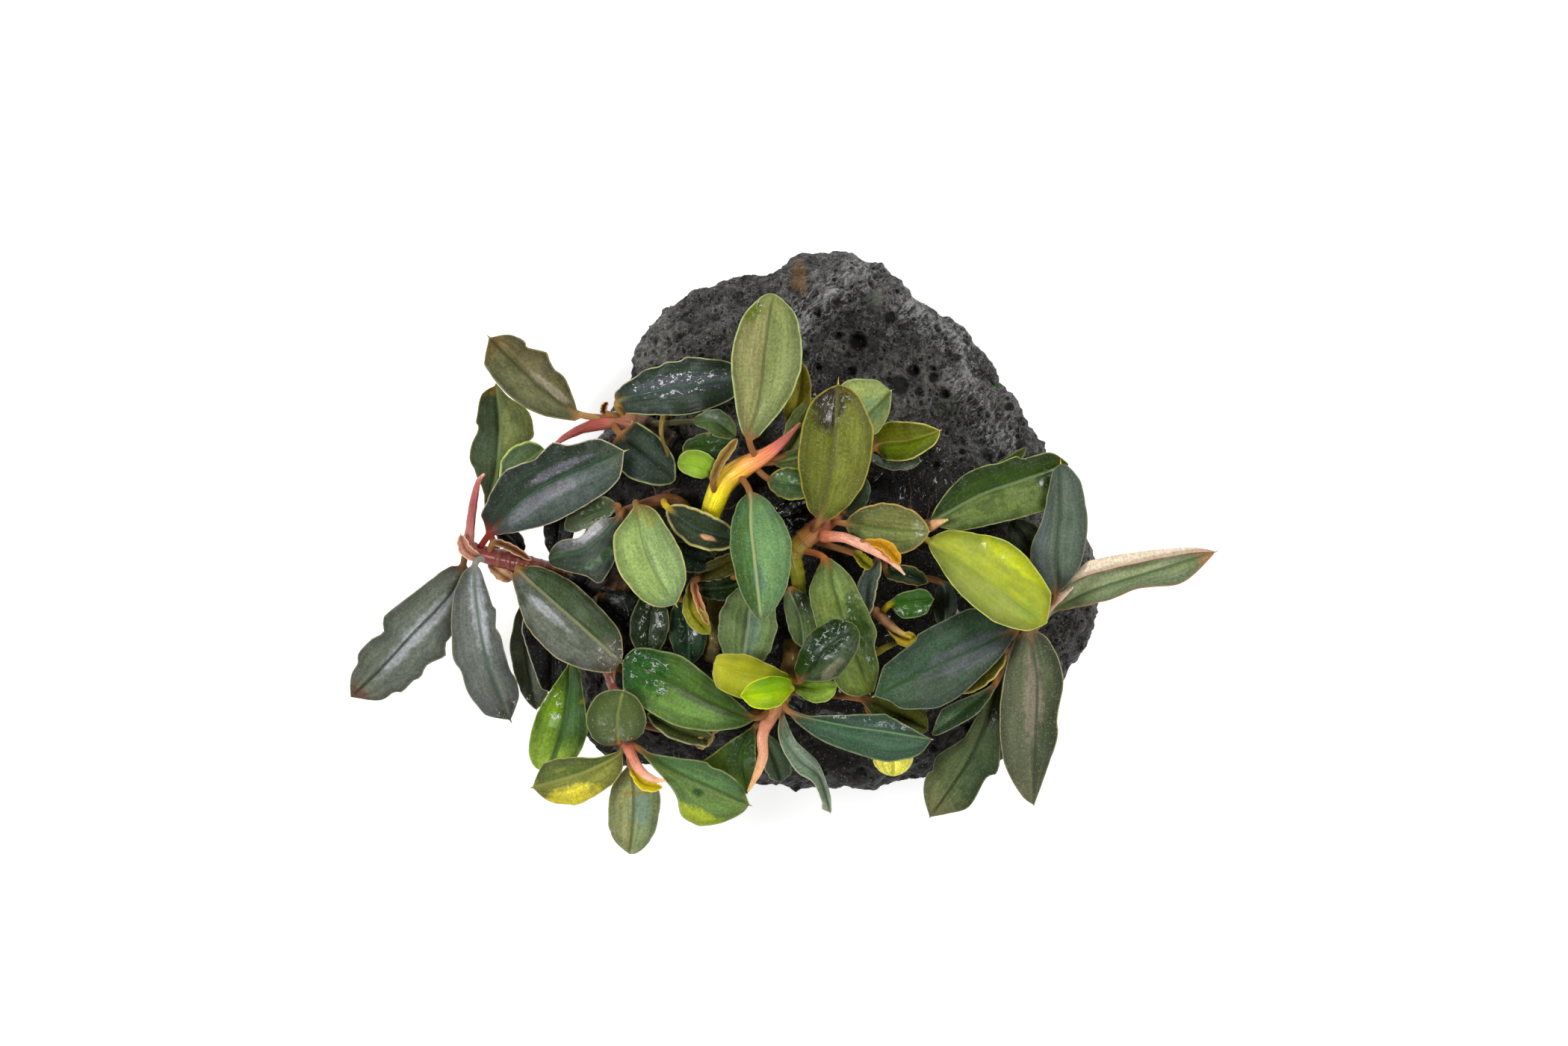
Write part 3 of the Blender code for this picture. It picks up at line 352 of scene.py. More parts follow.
# Leaves that take the place of the solids with their names
LEAVES = {
    # Around the left rhizome, out past the rock
    # Its grey wet mark, without gloss, is a painted sheen
    "leaf_far_left": Leaf(
        [(-62.8, -7.4, 26), (-65, -12.1, 27), (-71.3, -18.8, 26), (-77.5, -25.4, 21), (-81.7, -29.2, 16.5)],
        Look("585d53", "575c50", "64604e", 0.72, patch=Mark("644a3c", 0.95, 0.4, 0.09, 2.6, 0.9),
        wet=Mark("8a8c8e", 0.42, 0.4, 0.34, 1.5), rib="30382c", mottle="545a54", stalk="6e5037",
        ruffle=(0.2, 0.2), film=0, point=0.5, mucro=0.5),
        "rhizome_left", 5.1, left_rise=-0.4, right_rise=0.8, edges=([(-61.4, -7.6), (-62.1, -8.6),
        (-64.2, -17.8), (-65.7, -20.3), (-65.6, -21.7), (-66, -22.7), (-68.8, -24), (-70, -26.1),
        (-71.1, -26.6), (-72.8, -28.3), (-74.4, -28.5), (-76.9, -30), (-81.8, -29.3)],
        [(-61.9, -7.2), (-63.8, -7.2), (-66, -8), (-74.8, -14.6), (-75.8, -16), (-75.8, -18),
        (-78.3, -19.6), (-80.1, -21.7), (-80.2, -23.1), (-81.5, -25.5), (-81.8, -29.2)])),
    # Its grey patch is a painted sheen
    "leaf_left_down": Leaf(
        [(-60.7, -7.2, 29.2), (-60.2, -15, 30.8), (-58.5, -23.8, 27), (-54.8, -33.4, 18)],
        Look("5c605a", "505a50", patch=Mark("94969a", 0.3, 0.3, 0.34, 1.4, 0.85),
        wet=Mark("4e4c46", 0.93, 0.4, 0.08, 2.6), rib="4c604e", fleck=0.4, ruffle=(0.22, 0.12), mucro=0.9,
        mucro_colour="d7a069", stalk="808076"),
        "rhizome_left", 4, edges=([(-60.3, -7.2), (-59.5, -8.3), (-57.7, -13.6), (-57, -14.6),
        (-57.1, -17.4), (-56.4, -18.5), (-55, -24.1), (-54, -25.9), (-53.5, -29.4), (-54.8, -32.9)],
        [(-61.3, -7.2), (-62.3, -8), (-63.3, -9.7), (-64.4, -13.2), (-64.5, -21.7), (-63.1, -24.5),
        (-62.1, -28), (-60, -31.2), (-58.6, -32.4), (-55, -33.1)])),
    "leaf_left_upright": Leaf(
        [(-58.8, 1, 23.5), (-57, 8.8, 26.5), (-56.5, 16.3, 27), (-57.2, 23.4, 25)],
        Look("444e3a", "727a48", "846834", 0.84, rib="6c7c54", mottle="404e3a", ruffle=(0.3, 0.12),
        point=0.1, rim="968c46"),
        "rhizome_left", 3.6, left_rise=-0.2, edges=([(-59.1, 3.1), (-59.6, 6.3), (-61.6, 11.2),
        (-60.2, 15.8), (-60.5, 17.2), (-59.8, 21.1), (-58.9, 22.3), (-57.1, 23.2)],
        [(-58.2, 3.4), (-55.7, 9.1), (-55.4, 11.2), (-51.2, 14), (-50.8, 15.4), (-51.7, 18.6), (-55, 21.1),
        (-56.9, 23.2)])),
    "leaf_left_pale": Leaf(
        [(-55, 4, 29.2), (-53.2, 9.2, 29.8), (-49, 12.4, 29)],
        Look("506044", "5a6c50", rim="becd6e", rim_width=0.34, rib="607442", ruffle=(0.05, 0.05),
        point=0.1), "rhizome_left", 3.2, 3.2, 3, widest=0.55),
    # Its grey patch is a painted sheen
    "leaf_left_big": Leaf(
        [(-57.9, -1.5, 30.5), (-52.5, 4.2, 35), (-45, 8.3, 39), (-35.4, 12, 41)],
        Look("343c34", "48524c", "545c4a", 0.82, patch=Mark("6c6c72", 0.44, -1.8, 0.36, 1.3),
        wet=Mark("58585e", 0.62, 1.2, 0.22, 0.9), rim="c4bea0", rib="2c422c", mottle="363a36", fleck=0.16,
        ruffle=(0.34, 0.1), waves=6.5, mucro=0.9, stalk="78302c", roughness=0.36, film=0.3),
        "rhizome_left", 4.4, left_rise=1.2, edges=([(-58.4, -2), (-59.2, 0.6), (-59.1, 2.4), (-55.7, 8.4),
        (-52.6, 10.1), (-50.1, 10.8), (-47.5, 13.3), (-46.6, 13.6), (-44.3, 13.2), (-40.2, 14.1),
        (-38.5, 13.8), (-35.5, 12.1)],
        [(-57.9, -2.2), (-48, -0.1), (-40.2, 3.9), (-36.9, 6.6), (-35.9, 8.5), (-35.5, 11.9)])),
    # Its grey patch is a painted sheen
    "leaf_left_long": Leaf(
        [(-53.2, -8, 31.8), (-48.6, -12.2, 34.6), (-43.4, -16.7, 38), (-36, -23.3, 39)],
        Look("3e4a34", "5e6258", "565436", 0.86, patch=Mark("929496", 0.42, -1.9, 0.24, 0.9),
        wet=Mark("5a564c", 0.93, -0.6, 0.12, 3.4), rim="b0a070", rib="747856", fleck=0.6, mucro=0.7,
        mucro_colour="d7aa50", roughness=0.34, film=0.4),
        "rhizome_left", 2.8, edges=([(-53.1, -7.4), (-51.2, -7.2), (-48.7, -7.6), (-44.5, -9.7),
        (-40.8, -12.7), (-36.4, -17.8), (-35.7, -21.3), (-35.9, -23.1)],
        [(-53.8, -7.6), (-54.4, -9), (-52.2, -16.4), (-51.2, -18.1), (-48, -21.6), (-45.9, -23.1),
        (-41.6, -24.7), (-37.4, -25), (-36.2, -24)])),
    "leaf_left_black_outer": Leaf(
        [(-51.9, -11.9, 24.5), (-52.3, -21.3, 23), (-50.5, -31.3, 20)],
        Look("565c50", "565d4e", "505642", 0.85, wet=Mark("42463a", 0.86, -0.6, 0.1, 1.4), fleck=0.8,
        mucro=0.5), "rhizome_left", 3.4, 4, 2.4),
    "leaf_left_black_inner": Leaf(
        [(-49.6, -13, 28.6), (-48, -20, 29), (-47.8, -28.5, 26.6)],
        Look("181c16", "0e110d", wet=Mark("121611", 0.4, 1.4, 0.3, 1.2), rim="b2ac96", fleck=0.5, film=0.1,
        mucro=0.5),
        "rhizome_left", 2.2, edges=([(-48.7, -12.9), (-46.6, -15), (-45.2, -17.4), (-44.3, -20.3),
        (-44.5, -23.4), (-45.2, -25.9), (-46.2, -27.7), (-47.6, -28.5)],
        [(-52, -13.9), (-52.8, -17.6), (-52.4, -19.6), (-49.9, -27), (-49, -28), (-47.8, -28.5)])),
    "leaf_left_wet_green": Leaf(
        [(-44.2, -23.1, 32), (-44.8, -28, 31.6), (-45.8, -34.5, 30), (-48.5, -41.9, 26.5)],
        Look("425c34", "546c2c", "92ae48", 0.62, patch=Mark("8e8428", 0.42, 2.4, 0.03, 0.5),
        wet=Mark("607e16", 0.5, -2.6, 0.26, 2), rim="96ac60", rib="3c5432", rib_width=0.5, fleck=0.9,
        mucro=0.3, roughness=0.34, film=0.6),
        "rhizome_bottom_left", 0.3, edges=([(-43.9, -23.1), (-43, -24.8), (-42.6, -27), (-41.7, -34),
        (-41.9, -35.8), (-42.9, -38.2), (-44.5, -40.4), (-46.6, -41.6), (-48.3, -41.9)],
        [(-44.5, -23.1), (-49.2, -29.8), (-51, -34), (-51.6, -37.9), (-51.3, -39.8), (-50.4, -41.2),
        (-48.7, -41.9)])),
    # Around the top left rhizome
    "leaf_top_left_brown": Leaf(
        [(-43.3, 18.3, 35), (-48.5, 21.8, 35.6), (-54, 26.8, 34), (-58.3, 31.2, 31)],
        Look("5b5d41", "5b553b", "755f39", 0.72, patch=Mark("89816f", 0.3, -0.9, 0.24, 0.8), rim_width=0.24,
        stalk="a07c50", ruffle=(0.12, 0.3), mucro=1),
        "rhizome_top_left", 3, edges=([(-43.2, 17), (-48, 17.7), (-51.5, 18.9), (-55.2, 21.6),
        (-58.6, 25.8), (-58.8, 27.1), (-58.2, 31)],
        [(-43.2, 18.2), (-45.2, 23.9), (-47.3, 26), (-48.2, 28.1), (-49, 28.7), (-51.5, 29.2), (-52, 30.2),
        (-54.3, 31.4), (-58.2, 31)])),
    # Its grey wet mark is a painted sheen, with painted highlights on it
    "leaf_top_left_wet": Leaf(
        [(-36.6, 20.3, 36), (-31.3, 21.8, 38), (-23.8, 23, 39.5), (-16.3, 24.1, 40)],
        Look("363f36", wet=Mark("4e5256", 0.56, 0.6, 0.42, 2), rim="bec08c", rib="385040", fleck=1,
        ruffle=(0.3, 0.1), stalk="967846", roughness=0.3, film=0.5),
        "rhizome_top_left", 2, edges=([(-37.1, 21.3), (-36.3, 22.6), (-31.7, 25.7), (-29.6, 26.1),
        (-28.2, 27), (-26.1, 27.1), (-24.7, 27.7), (-20.1, 27.3), (-17.5, 26.6), (-16.2, 24.2)],
        [(-37.4, 20.8), (-36.1, 19), (-34.6, 18.3), (-26.8, 18), (-22.9, 18.5), (-17.1, 21), (-16.2, 24)])),
    "leaf_left_grey": Leaf(
        [(-36, 14.6, 36), (-32.3, 11.5, 37.6), (-27, 7.2, 38.6)],
        Look("303a30", "363e38", "3a4834", 0.7, rim="a0a870", rim_width=0.26, point=0.3),
        "rhizome_top_left", 2.7, edges=([(-36.7, 16.9), (-34.9, 17.1), (-33.1, 16.7), (-29.6, 14.3),
        (-27.1, 10.8), (-26.8, 7.6)],
        [(-37.4, 16.6), (-38, 15.2), (-37.9, 13), (-36.7, 9.5), (-35.6, 8.3), (-34, 7.2), (-30.3, 6.2),
        (-27.7, 6.5), (-26.9, 7.2)])),
    # Around the middle rhizome
    "leaf_pale_oval": Leaf(
        [(-33.5, 3, 41), (-32.2, -4, 44.8), (-29.6, -9.4, 45.8), (-26.8, -13.7, 44.2)],
        Look("778b5a", "7b8d52", "758d62", 0.7, patch=Mark("877b34", 0.1, 1.6, 0.12, 1.6, 0.5),
        rim="c4be7c", rim_width=0.24, rib="68764a", rib_width=0.16, mottle="85995c", mucro=0.8,
        mucro_colour="cdb478"),
        "rhizome_middle", 3.7, edges=([(-33.3, 3.2), (-30.2, 1.9), (-26.2, -4.2), (-25.3, -7.1),
        (-25.3, -9.8), (-26.8, -13.6)],
        [(-33.9, 2.5), (-36.8, -1.5), (-37.2, -2.9), (-37.1, -5.5), (-36.1, -8.5), (-33.5, -11.9),
        (-31.5, -13.4), (-29.3, -14), (-27, -13.5)])),
    # Its pale grey patch is a painted sheen
    "leaf_bent_grey": Leaf(
        [(-36.4, 1.1, 39.6), (-39.2, -2, 40.4), (-42.6, -4.5, 39.2), (-48.1, -5.9, 34.6)],
        Look("3e463e", "767876", "34402e", 0.7, patch=Mark("b2b2b4", 0.42, -1.9, 0.3, 1.2, 0.9),
        wet=Mark("2a4620", 0.42, 3, 0.4, 0.9), rim="a09676", rib="3c543c", fleck=0.1, ruffle=(0.16, 0.2),
        point=0.3, film=0.1),
        "rhizome_middle", 4.4, edges=([(-35.6, 0.4), (-36.7, -5.5), (-39.2, -9.9), (-42, -8.7),
        (-47.3, -7.3), (-48.1, -5.9)],
        [(-36.3, 0.9), (-39.9, 0.4), (-42.7, -2.2), (-45.5, -2.7), (-47.3, -4), (-48.1, -5.5)])),
    "leaf_small_wet": Leaf(
        [(-36.9, 2.9, 37.4), (-40.6, 1.5, 36.2), (-45.4, -1.1, 33.8)],
        Look("727c66", "5a644e", "4a523a", wet=Mark("485838", 0.4, 0, 0.4, 1.6), fleck=0.35,
        ruffle=(0.2, 0.2), film=0.4), "rhizome_middle", 4.7, 1.6, 2.6),
    "leaf_black_middle": Leaf(
        [(-39.6, -12.2, 35), (-36.5, -14.8, 36.2), (-32, -18.5, 35.6)],
        Look("1e291d", wet=Mark("141a12", 0.5, 0.5, 0.4, 2), rim="283024", fleck=0.12, film=0.15),
        "rhizome_left", 1.25, 3.4, 3.2),
    "leaf_wet_dark": Leaf(
        [(-29.6, -12.3, 38.6), (-31.2, -16.8, 38.8), (-31.5, -22.5, 37.8)],
        Look("343e2a", "2e3828", "4c5828", 0.8, wet=Mark("2c3428", 0.5, 0.2, 0.45, 2.2), fleck=0.5,
        film=0.4, mucro=0.5), "rhizome_top_centre", 1.7, 3.1, 3.2),
    "leaf_tan_spot": Leaf(
        [(-28.1, 2.5, 41.4), (-22.8, -1.1, 42.6), (-16.3, -2.9, 42.6)],
        Look("343c2d", patch=Mark("ba8e68", 0.62, -0.8, 0.1, 0.5, 0.95), rim="cec47c", rim_width=0.4,
        rib="34423a", stalk="baa032"), "rhizome_middle", 2.3, 2.9, 2.9),
    # The centre
    "leaf_top_centre": Leaf(
        [(-14.6, 14.4, 47.6), (-12.9, 20.6, 48.4), (-11.9, 29.4, 47), (-10.7, 38.2, 43.5)],
        Look("7b794e", "737b4e", "858b50", 0.8, wet=Mark("5f6916", 0.86, 3, 0.09, 1.8), rim="b2c480",
        rim_width=0.26, mottle="6b7748", speckle=0.9, fleck=0.6, point=0.2),
        "rhizome_top_centre", 7.7, left_rise=0.9, edges=([(-14.7, 13.2), (-16.1, 16), (-17, 20.4),
        (-17.6, 25.4), (-17.3, 29.6), (-15.7, 34.2), (-13.4, 37), (-12, 38), (-10.7, 38.3)],
        [(-14.2, 13), (-8.5, 19.7), (-6.3, 24.3), (-5.9, 26.1), (-5.9, 30), (-6.9, 34.6), (-9, 37.2),
        (-10.7, 38.3)])),
    "leaf_centre_top": Leaf(
        [(-2.8, 0.6, 45.6), (-1.5, 6.3, 49), (-0.4, 14, 51.4), (0.2, 23, 50)],
        Look("595d2b", "656931", "61571b", 0.84, wet=Mark("2a1e02", 0.85, 1.2, 0.15, 3.4), rim="a89642",
        rim_width=0.26, rib="545430", rib_width=0.36, mottle="515727", speckle=0.9, fleck=0.35, mucro=1.6,
        mucro_colour="e8b254", film=0.2),
        "rhizome_centre", 4, edges=([(-2.8, 0.1), (-4.7, 2.5), (-5.9, 6.3), (-6.5, 10.6), (-6.3, 13),
        (-5.6, 16.9), (-4.2, 20.1), (-1.9, 22.1), (0.1, 23)],
        [(-2.5, -0.1), (0.7, 1.8), (3.5, 4.9), (4.5, 6.5), (5.7, 10.6), (6.1, 14.8), (5.8, 16.6),
        (4.1, 20.4), (3.2, 21.5), (2.1, 22.4), (0.4, 23)])),
    "leaf_behind_centre": Leaf(
        [(2.6, 15, 42.6), (5.6, 18.4, 43.8), (9, 22, 43.4)],
        Look("8e9c5c", patch=Mark("76926b", 0.55, 0, 0.3, 2), wet=Mark("8e9c5f", 0.75, 2.2, 0.1, 0.6),
        fleck=0.4, mucro=0.4, mucro_colour="e1cd82", point=0.3),
        "rhizome_centre", 1.35, edges=([(2.8, 15.2), (1.1, 16.9), (0, 19.4), (0.2, 21.9), (1.1, 23.4),
        (2.8, 24), (4.8, 24), (6.9, 23.7), (9.2, 22.3)],
        [(4.2, 14.5), (5.6, 14.6), (7.1, 15.3), (8.7, 18.3), (9.2, 22)])),
    "leaf_upper_right_small": Leaf(
        [(6.6, 12.9, 41.6), (11.9, 13.8, 43.2), (17.1, 15.4, 42.6)],
        Look("646616", "5c6a1e", "78761e", 0.8, rim="cec86e", rim_width=0.24, rib="80843e", rib_width=0.14,
        mottle="565c12", mucro=0.5, mucro_colour="e8cd82"),
        "rhizome_centre", 1.75, edges=([(6, 14.4), (6.5, 15.6), (7.9, 16.6), (10, 17), (14.2, 16.6),
        (17.2, 15.5)],
        [(6.2, 12.9), (7.5, 11.2), (8.8, 10.4), (12.2, 10.5), (15.8, 12.6), (16.9, 14), (17.3, 15.3)])),
    "leaf_blue_green": Leaf(
        [(-14.5, 5, 46.6), (-14.3, -0.6, 48.8), (-13.5, -8, 49.6), (-12.6, -16.2, 47.4)],
        Look("607c50", "445c30", "586c4a", 0.86, patch=Mark("4c6054", 0.72, 0.2, 0.1, 1.2), rib="8e9668",
        mottle="4c704e", speckle=0.9, waves=4.5), "rhizome_top_centre", 6.7, 6.2, 3.6),
    "leaf_teal": Leaf(
        [(-14.8, -9.6, 42.6), (-14.8, -16.9, 43), (-16, -25, 41.4)],
        Look("5e6e46", "485e3c", patch=Mark("546858", 0.5, 1, 0.3, 1.4), rib="7a886e"),
        "rhizome_top_centre", 2.5, 4.7, 4.8),
    "leaf_green_under": Leaf(
        [(-11.4, 7.4, 42.8), (-7.8, 6.4, 43.6), (-3.8, 5.9, 43.2)],
        Look("506840", "5c724a", "566c2a", 0.75, wet=Mark("526c40", 0.4, 0.4, 0.3, 1.4), rim="bab250",
        rim_width=0.3, rib="465c42", fleck=0.4), "rhizome_top_centre", 7.4, 2.8, 2.4),
    "leaf_centre_olive": Leaf(
        [(-1.9, -6, 43.4), (-0.4, -11.3, 44.2), (1.9, -18.8, 43.2), (5.5, -28.4, 40.4)],
        Look("637541", "5d6f39", "4d5727", 0.8, wet=Mark("2f430b", 0.62, 2.2, 0.24, 1.9), mottle="6f7943",
        fleck=0.4, stalk="a06438", ruffle=(0.24, 0.1), mucro=0.5),
        "rhizome_centre", 4.7, edges=([(-1.1, -5.8), (1.9, -8.4), (3.1, -10.2), (6.5, -17.6), (6.3, -20.4),
        (7, -24.3), (6, -28.9)],
        [(-2.2, -5.6), (-3.9, -9.1), (-4.5, -13), (-1.5, -23.6), (-0.4, -26.4), (1, -28.2), (2.8, -28.9),
        (5.8, -29)])),
    "leaf_centre_wet": Leaf(
        [(-5.9, -26.2, 43.2), (-1.9, -21.4, 46.8), (3.2, -17.2, 48)],
        Look("314120", "3f4b34", "41532a", 0.8, patch=Mark("736f5c", 0.36, -2.8, 0.26, 1),
        wet=Mark("233116", 0.62, 0.8, 0.36, 2.6), fleck=0.45, roughness=0.3, film=0.4),
        "rhizome_bottom_centre", 1.7, edges=([(-6.6, -25.9), (-7, -24.6), (-6.6, -22.7), (-5.2, -19.2),
        (-4.1, -17.9), (-1.3, -16.2), (0.3, -15.8), (2.9, -16.7)],
        [(-6.2, -26.1), (-2.5, -26.3), (-0.6, -25.9), (1, -24.9), (3.2, -21.8), (3.8, -20.1), (3.9, -18.5),
        (3.3, -17.2)])),
    "leaf_centre_slate": Leaf(
        [(-7.8, -11.3, 41), (-6.1, -15.8, 41.4), (-5.5, -20.8, 40.4)],
        Look("5a6a44", wet=Mark("4b5d35", 0.4, 0.6, 0.3, 1), rib="788468", rib_width=0.16, fleck=0.9),
        "rhizome_centre", 6.6, 2.9, 2.2),
    # The right
    "leaf_right_olive": Leaf(
        [(1.6, -0.1, 44.4), (8.1, -1, 44.9), (15.4, -1.4, 44.2)],
        Look("64663c", "687040", "808254", 0.7, patch=Mark("3c4428", 0.14, 0, 0.12, 3.4),
        wet=Mark("7c8056", 0.84, 0.4, 0.08, 1.6), rim="c4a054", rim_width=0.26, rib="546032",
        mottle="5a643c", speckle=0.9, fleck=0.7, mucro=0.3), "rhizome_centre", 3.2, 4.2, 4.2,
        right_rise=-0.4),
    "leaf_right_upper": Leaf(
        [(15.8, 0.2, 42.6), (23.8, 4.6, 44), (30.6, 7, 43.6), (38.6, 9.8, 41.2)],
        Look("32421c", "5a683a", "404a22", 0.8, wet=Mark("263608", 0.84, -1, 0.12, 1.8), rim="a0a86c",
        rib="60704e", fleck=0.3, stalk="606842", ruffle=(0.24, 0.08), waves=6.5),
        "rhizome_right", 3.2, edges=([(15.6, 0.8), (17.8, 4.5), (21.3, 8.1), (24.7, 9.6), (27.1, 10),
        (30, 11.2), (31.1, 10.7), (35.6, 11.8), (38.7, 9.9)],
        [(15.8, -0.4), (19.6, -1.2), (22.1, -1.1), (32.3, 1.3), (35.1, 3), (38.7, 9.8)])),
    "leaf_right_upright": Leaf(
        [(36.6, -12, 40.6), (36.7, -5, 43.4), (37.3, 2.5, 45.4), (37.3, 9.8, 45.6)],
        Look("505a4e", "4c5438", patch=Mark("586060", 0.4, 2.6, 0.34, 1.2), rib="404e40",
        ruffle=(0.2, 0.06), mucro=1, mucro_colour="e4b45c"),
        "rhizome_far_right", 4, edges=([(36.3, -12.2), (32.5, -7.1), (32.3, -5.2), (32.5, -3.3),
        (34.4, 1.5), (35.8, 8.2), (37.3, 9.9)],
        [(36.9, -11.9), (39, -9.6), (40.8, -6.5), (41.7, -2.1), (41.8, 0.8), (40.9, 6.2), (39.8, 8.2),
        (38.4, 9.6), (37.5, 9.9)])),
    "leaf_right_yellow": Leaf(
        [(15.2, -2.9, 42.2), (21.4, -6.9, 46), (28.1, -11.7, 47.4), (35, -16.6, 45.6)],
        Look("8e9634", "7f8840", "989e2e", 0.82, patch=Mark("798b38", 0.84, -0.4, 0.1, 1.6),
        wet=Mark("acb42c", 0.62, 5.4, 0.34, 1.5), rim="ced26e", rib="808e38", mottle="768436",
        under="a0a546", stalk="a59646", veins=0.4),
        "rhizome_right", 2.7, edges=([(15.2, -2.7), (17.9, -1.5), (19.6, -1.3), (26.8, -2.5), (30.1, -4.2),
        (32.2, -6.3), (35.1, -10.6), (35.7, -12.3), (35, -16.6)],
        [(15.1, -3.1), (15.9, -5), (19.7, -10.9), (22.9, -14), (26.3, -16.5), (30.4, -17.8), (32.3, -17.8),
        (34.9, -16.8)])),
    "leaf_far_right": Leaf(
        [(36.5, -14.4, 37.2), (42.9, -11.2, 39.6), (51.3, -8.5, 40.2), (63.1, -4.9, 37.5)],
        Look("848a6c", "6e7a5a", "b58760", 0.86, rim="b07862", rib="46583c", mottle="697546",
        under="dcc8b2", ruffle=(0.3, 0.16), mucro=1.2, mucro_colour="d6967c", stalk="606e46"),
        "rhizome_far_right", 3.3, fold=((1, 1.9), (0.55, 3)), edges=([(36.2, -14), (40.6, -7.7),
        (45.4, -5.8), (57.5, -4.4), (63, -4.8)],
        [(36.5, -14.5), (38.8, -14.4), (45.4, -12.9), (50.8, -10.9), (56.5, -10.4), (59.6, -8.7),
        (63, -5.3)])),
    "leaf_right_slate": Leaf(
        [(29.7, -17.9, 39), (22.6, -21.2, 41.4), (14.4, -24.8, 43.2), (6.2, -28.9, 43.4)],
        Look("404c3e", "364636", "425840", 0.7, patch=Mark("4e5054", 0.34, 0.4, 0.36, 2.6), rib="30482c",
        mottle="3c483e", mucro=0.5),
        "rhizome_far_right", 1.1, edges=([(29.9, -18.4), (27.1, -22.7), (21.3, -28.2), (18.5, -30),
        (16.4, -30.9), (11.8, -31.1), (10.2, -30.8), (9.1, -29.9), (6.3, -28.9)],
        [(29.7, -17.6), (25.4, -14.9), (23.1, -14.3), (20.8, -14.8), (13.8, -18.4), (13.1, -19.5),
        (8.4, -23.3), (7.6, -24.3), (6.2, -28.9)])),
    # Its grey-brown patch in the middle is a painted sheen
    "leaf_right_hanging": Leaf(
        [(32.2, -17.9, 37.2), (33.5, -26.2, 38.2), (33.3, -36, 34.5), (33.2, -47.3, 24)],
        Look("424836", "525642", "686648", 0.75, patch=Mark("7a7062", 0.44, -0.6, 0.28, 1.7), rim="a69e76",
        rib="3e463a", mottle="4e5440", speckle=1, ruffle=(0.22, 0.1), mucro=0.7, mucro_colour="d8b06c"),
        "rhizome_far_right", 2, edges=([(32.6, -17.8), (33.8, -18.2), (35.9, -20.2), (37.9, -25.7),
        (36.9, -32.5), (36.9, -36), (33.3, -47.3)],
        [(31.3, -17.9), (29.7, -19.8), (28.1, -25), (27.3, -30.8), (27.4, -35.4), (27.8, -39.1),
        (28.8, -41.7), (31.2, -45.8), (33, -47.2)])),
    "leaf_right_diagonal": Leaf(
        [(27.8, -23.6, 34.2), (25, -33.4, 33), (21.3, -41.3, 28.5), (15.8, -49.4, 21.5)],
        Look("3c4832", "4c5638", "70704a", 0.72, wet=Mark("383c2e", 0.3, 0.6, 0.06, 1), mottle="4c583e",
        fleck=0.5, ruffle=(0.22, 0.16), mucro=0.7),
        "rhizome_far_right", 0, edges=([(28.1, -25), (27.5, -30.2), (27.4, -40.6), (25.4, -42.3),
        (23.1, -46.6), (20.8, -48.2), (15.9, -49.4)],
        [(27.4, -25), (22.2, -34.5), (21.1, -36), (17, -38.8), (16.2, -41.4), (15.3, -42), (14.7, -44.6),
        (15.7, -49.3)])),
    "leaf_right_small": Leaf(
        [(26.4, -27, 37.2), (21.1, -31.6, 38.4), (16.1, -35.4, 37.6)],
        Look("313f2c", "475940", "4b5d44", 0.7),
        "rhizome_far_right", 0.8, edges=([(26.7, -27.3), (25.4, -29.6), (22.8, -32.4), (17.6, -35.2),
        (16.3, -35.5)],
        [(26.1, -26.7), (24.5, -27.9), (18.6, -30.5), (17.3, -31.7), (15.9, -35.1)])),
    "leaf_small_oval": Leaf(
        [(8.9, -13.5, 40.8), (12.5, -13.1, 42.2), (16.2, -12.7, 41.4)],
        Look("3b592a", "33511c", "516d3a", 0.75, wet=Mark("395928", 0.5, -1.2, 0.4, 1.2), rib="2e4a22",
        fleck=0.25, roughness=0.34, stalk="aa9628", point=0.3, mottle_amount=0.2, veins=0.35),
        foot=(7.2, -15.8, 34.1), edges=([(8.8, -13.2), (10.7, -11.7), (13.6, -11), (14.9, -11.2),
        (16.1, -12.5)],
        [(9, -13.8), (10.8, -15.8), (12.1, -15.9), (13.6, -15.7), (15, -14.9), (16.1, -12.9)])),
    # The bottom
    "leaf_bottom_wet_green": Leaf(
        [(-13.6, -32.5, 41.2), (-20, -30.4, 43), (-28.1, -26.4, 42.6), (-35.6, -23, 41.4)],
        Look("5a743c", "425a2a", "2a4206", 0.82, patch=Mark("484e40", 0.4, 0.5, 0.3, 0.8),
        wet=Mark("1a4400", 0.88, 0.4, 0.25, 5.4), rim_width=0.26, fleck=0.5, film=0.15, mucro=0.3),
        "rhizome_bottom_centre", 3.6, edges=([(-13.4, -32.7), (-15.9, -34), (-20.9, -34.7), (-26.7, -33.9),
        (-31.6, -31.3), (-35.2, -28.3), (-35.7, -26.7), (-35.8, -23)],
        [(-13.8, -32.3), (-24.4, -23.1), (-29.7, -21.2), (-32.8, -20.8), (-34.2, -21.2), (-35.8, -22.8)])),
    "leaf_young_yellow": Leaf(
        [(-7.8, -26.2, 41.4), (-14.2, -25.2, 45.4), (-20.5, -23.4, 46)],
        Look("8d8f26", "95952a", "aba934", 0.7, patch=Mark("677714", 0.15, 0, 0.16, 3), rib="8c8c2c",
        rib_width=0.16, mottle="858d2c", under="96963c", stalk="968228", point=0.2, veins=0.35),
        "rhizome_bottom_centre", 1.6, edges=([(-7.8, -26.8), (-12.1, -28.7), (-16.1, -29.2), (-19.5, -27.7),
        (-20.4, -26.6), (-20.8, -25)],
        [(-7.8, -25.4), (-14.2, -22.2), (-15.9, -21.8), (-19.3, -21.8), (-20.3, -22.5), (-20.8, -23.8)])),
    "leaf_young_lime": Leaf(
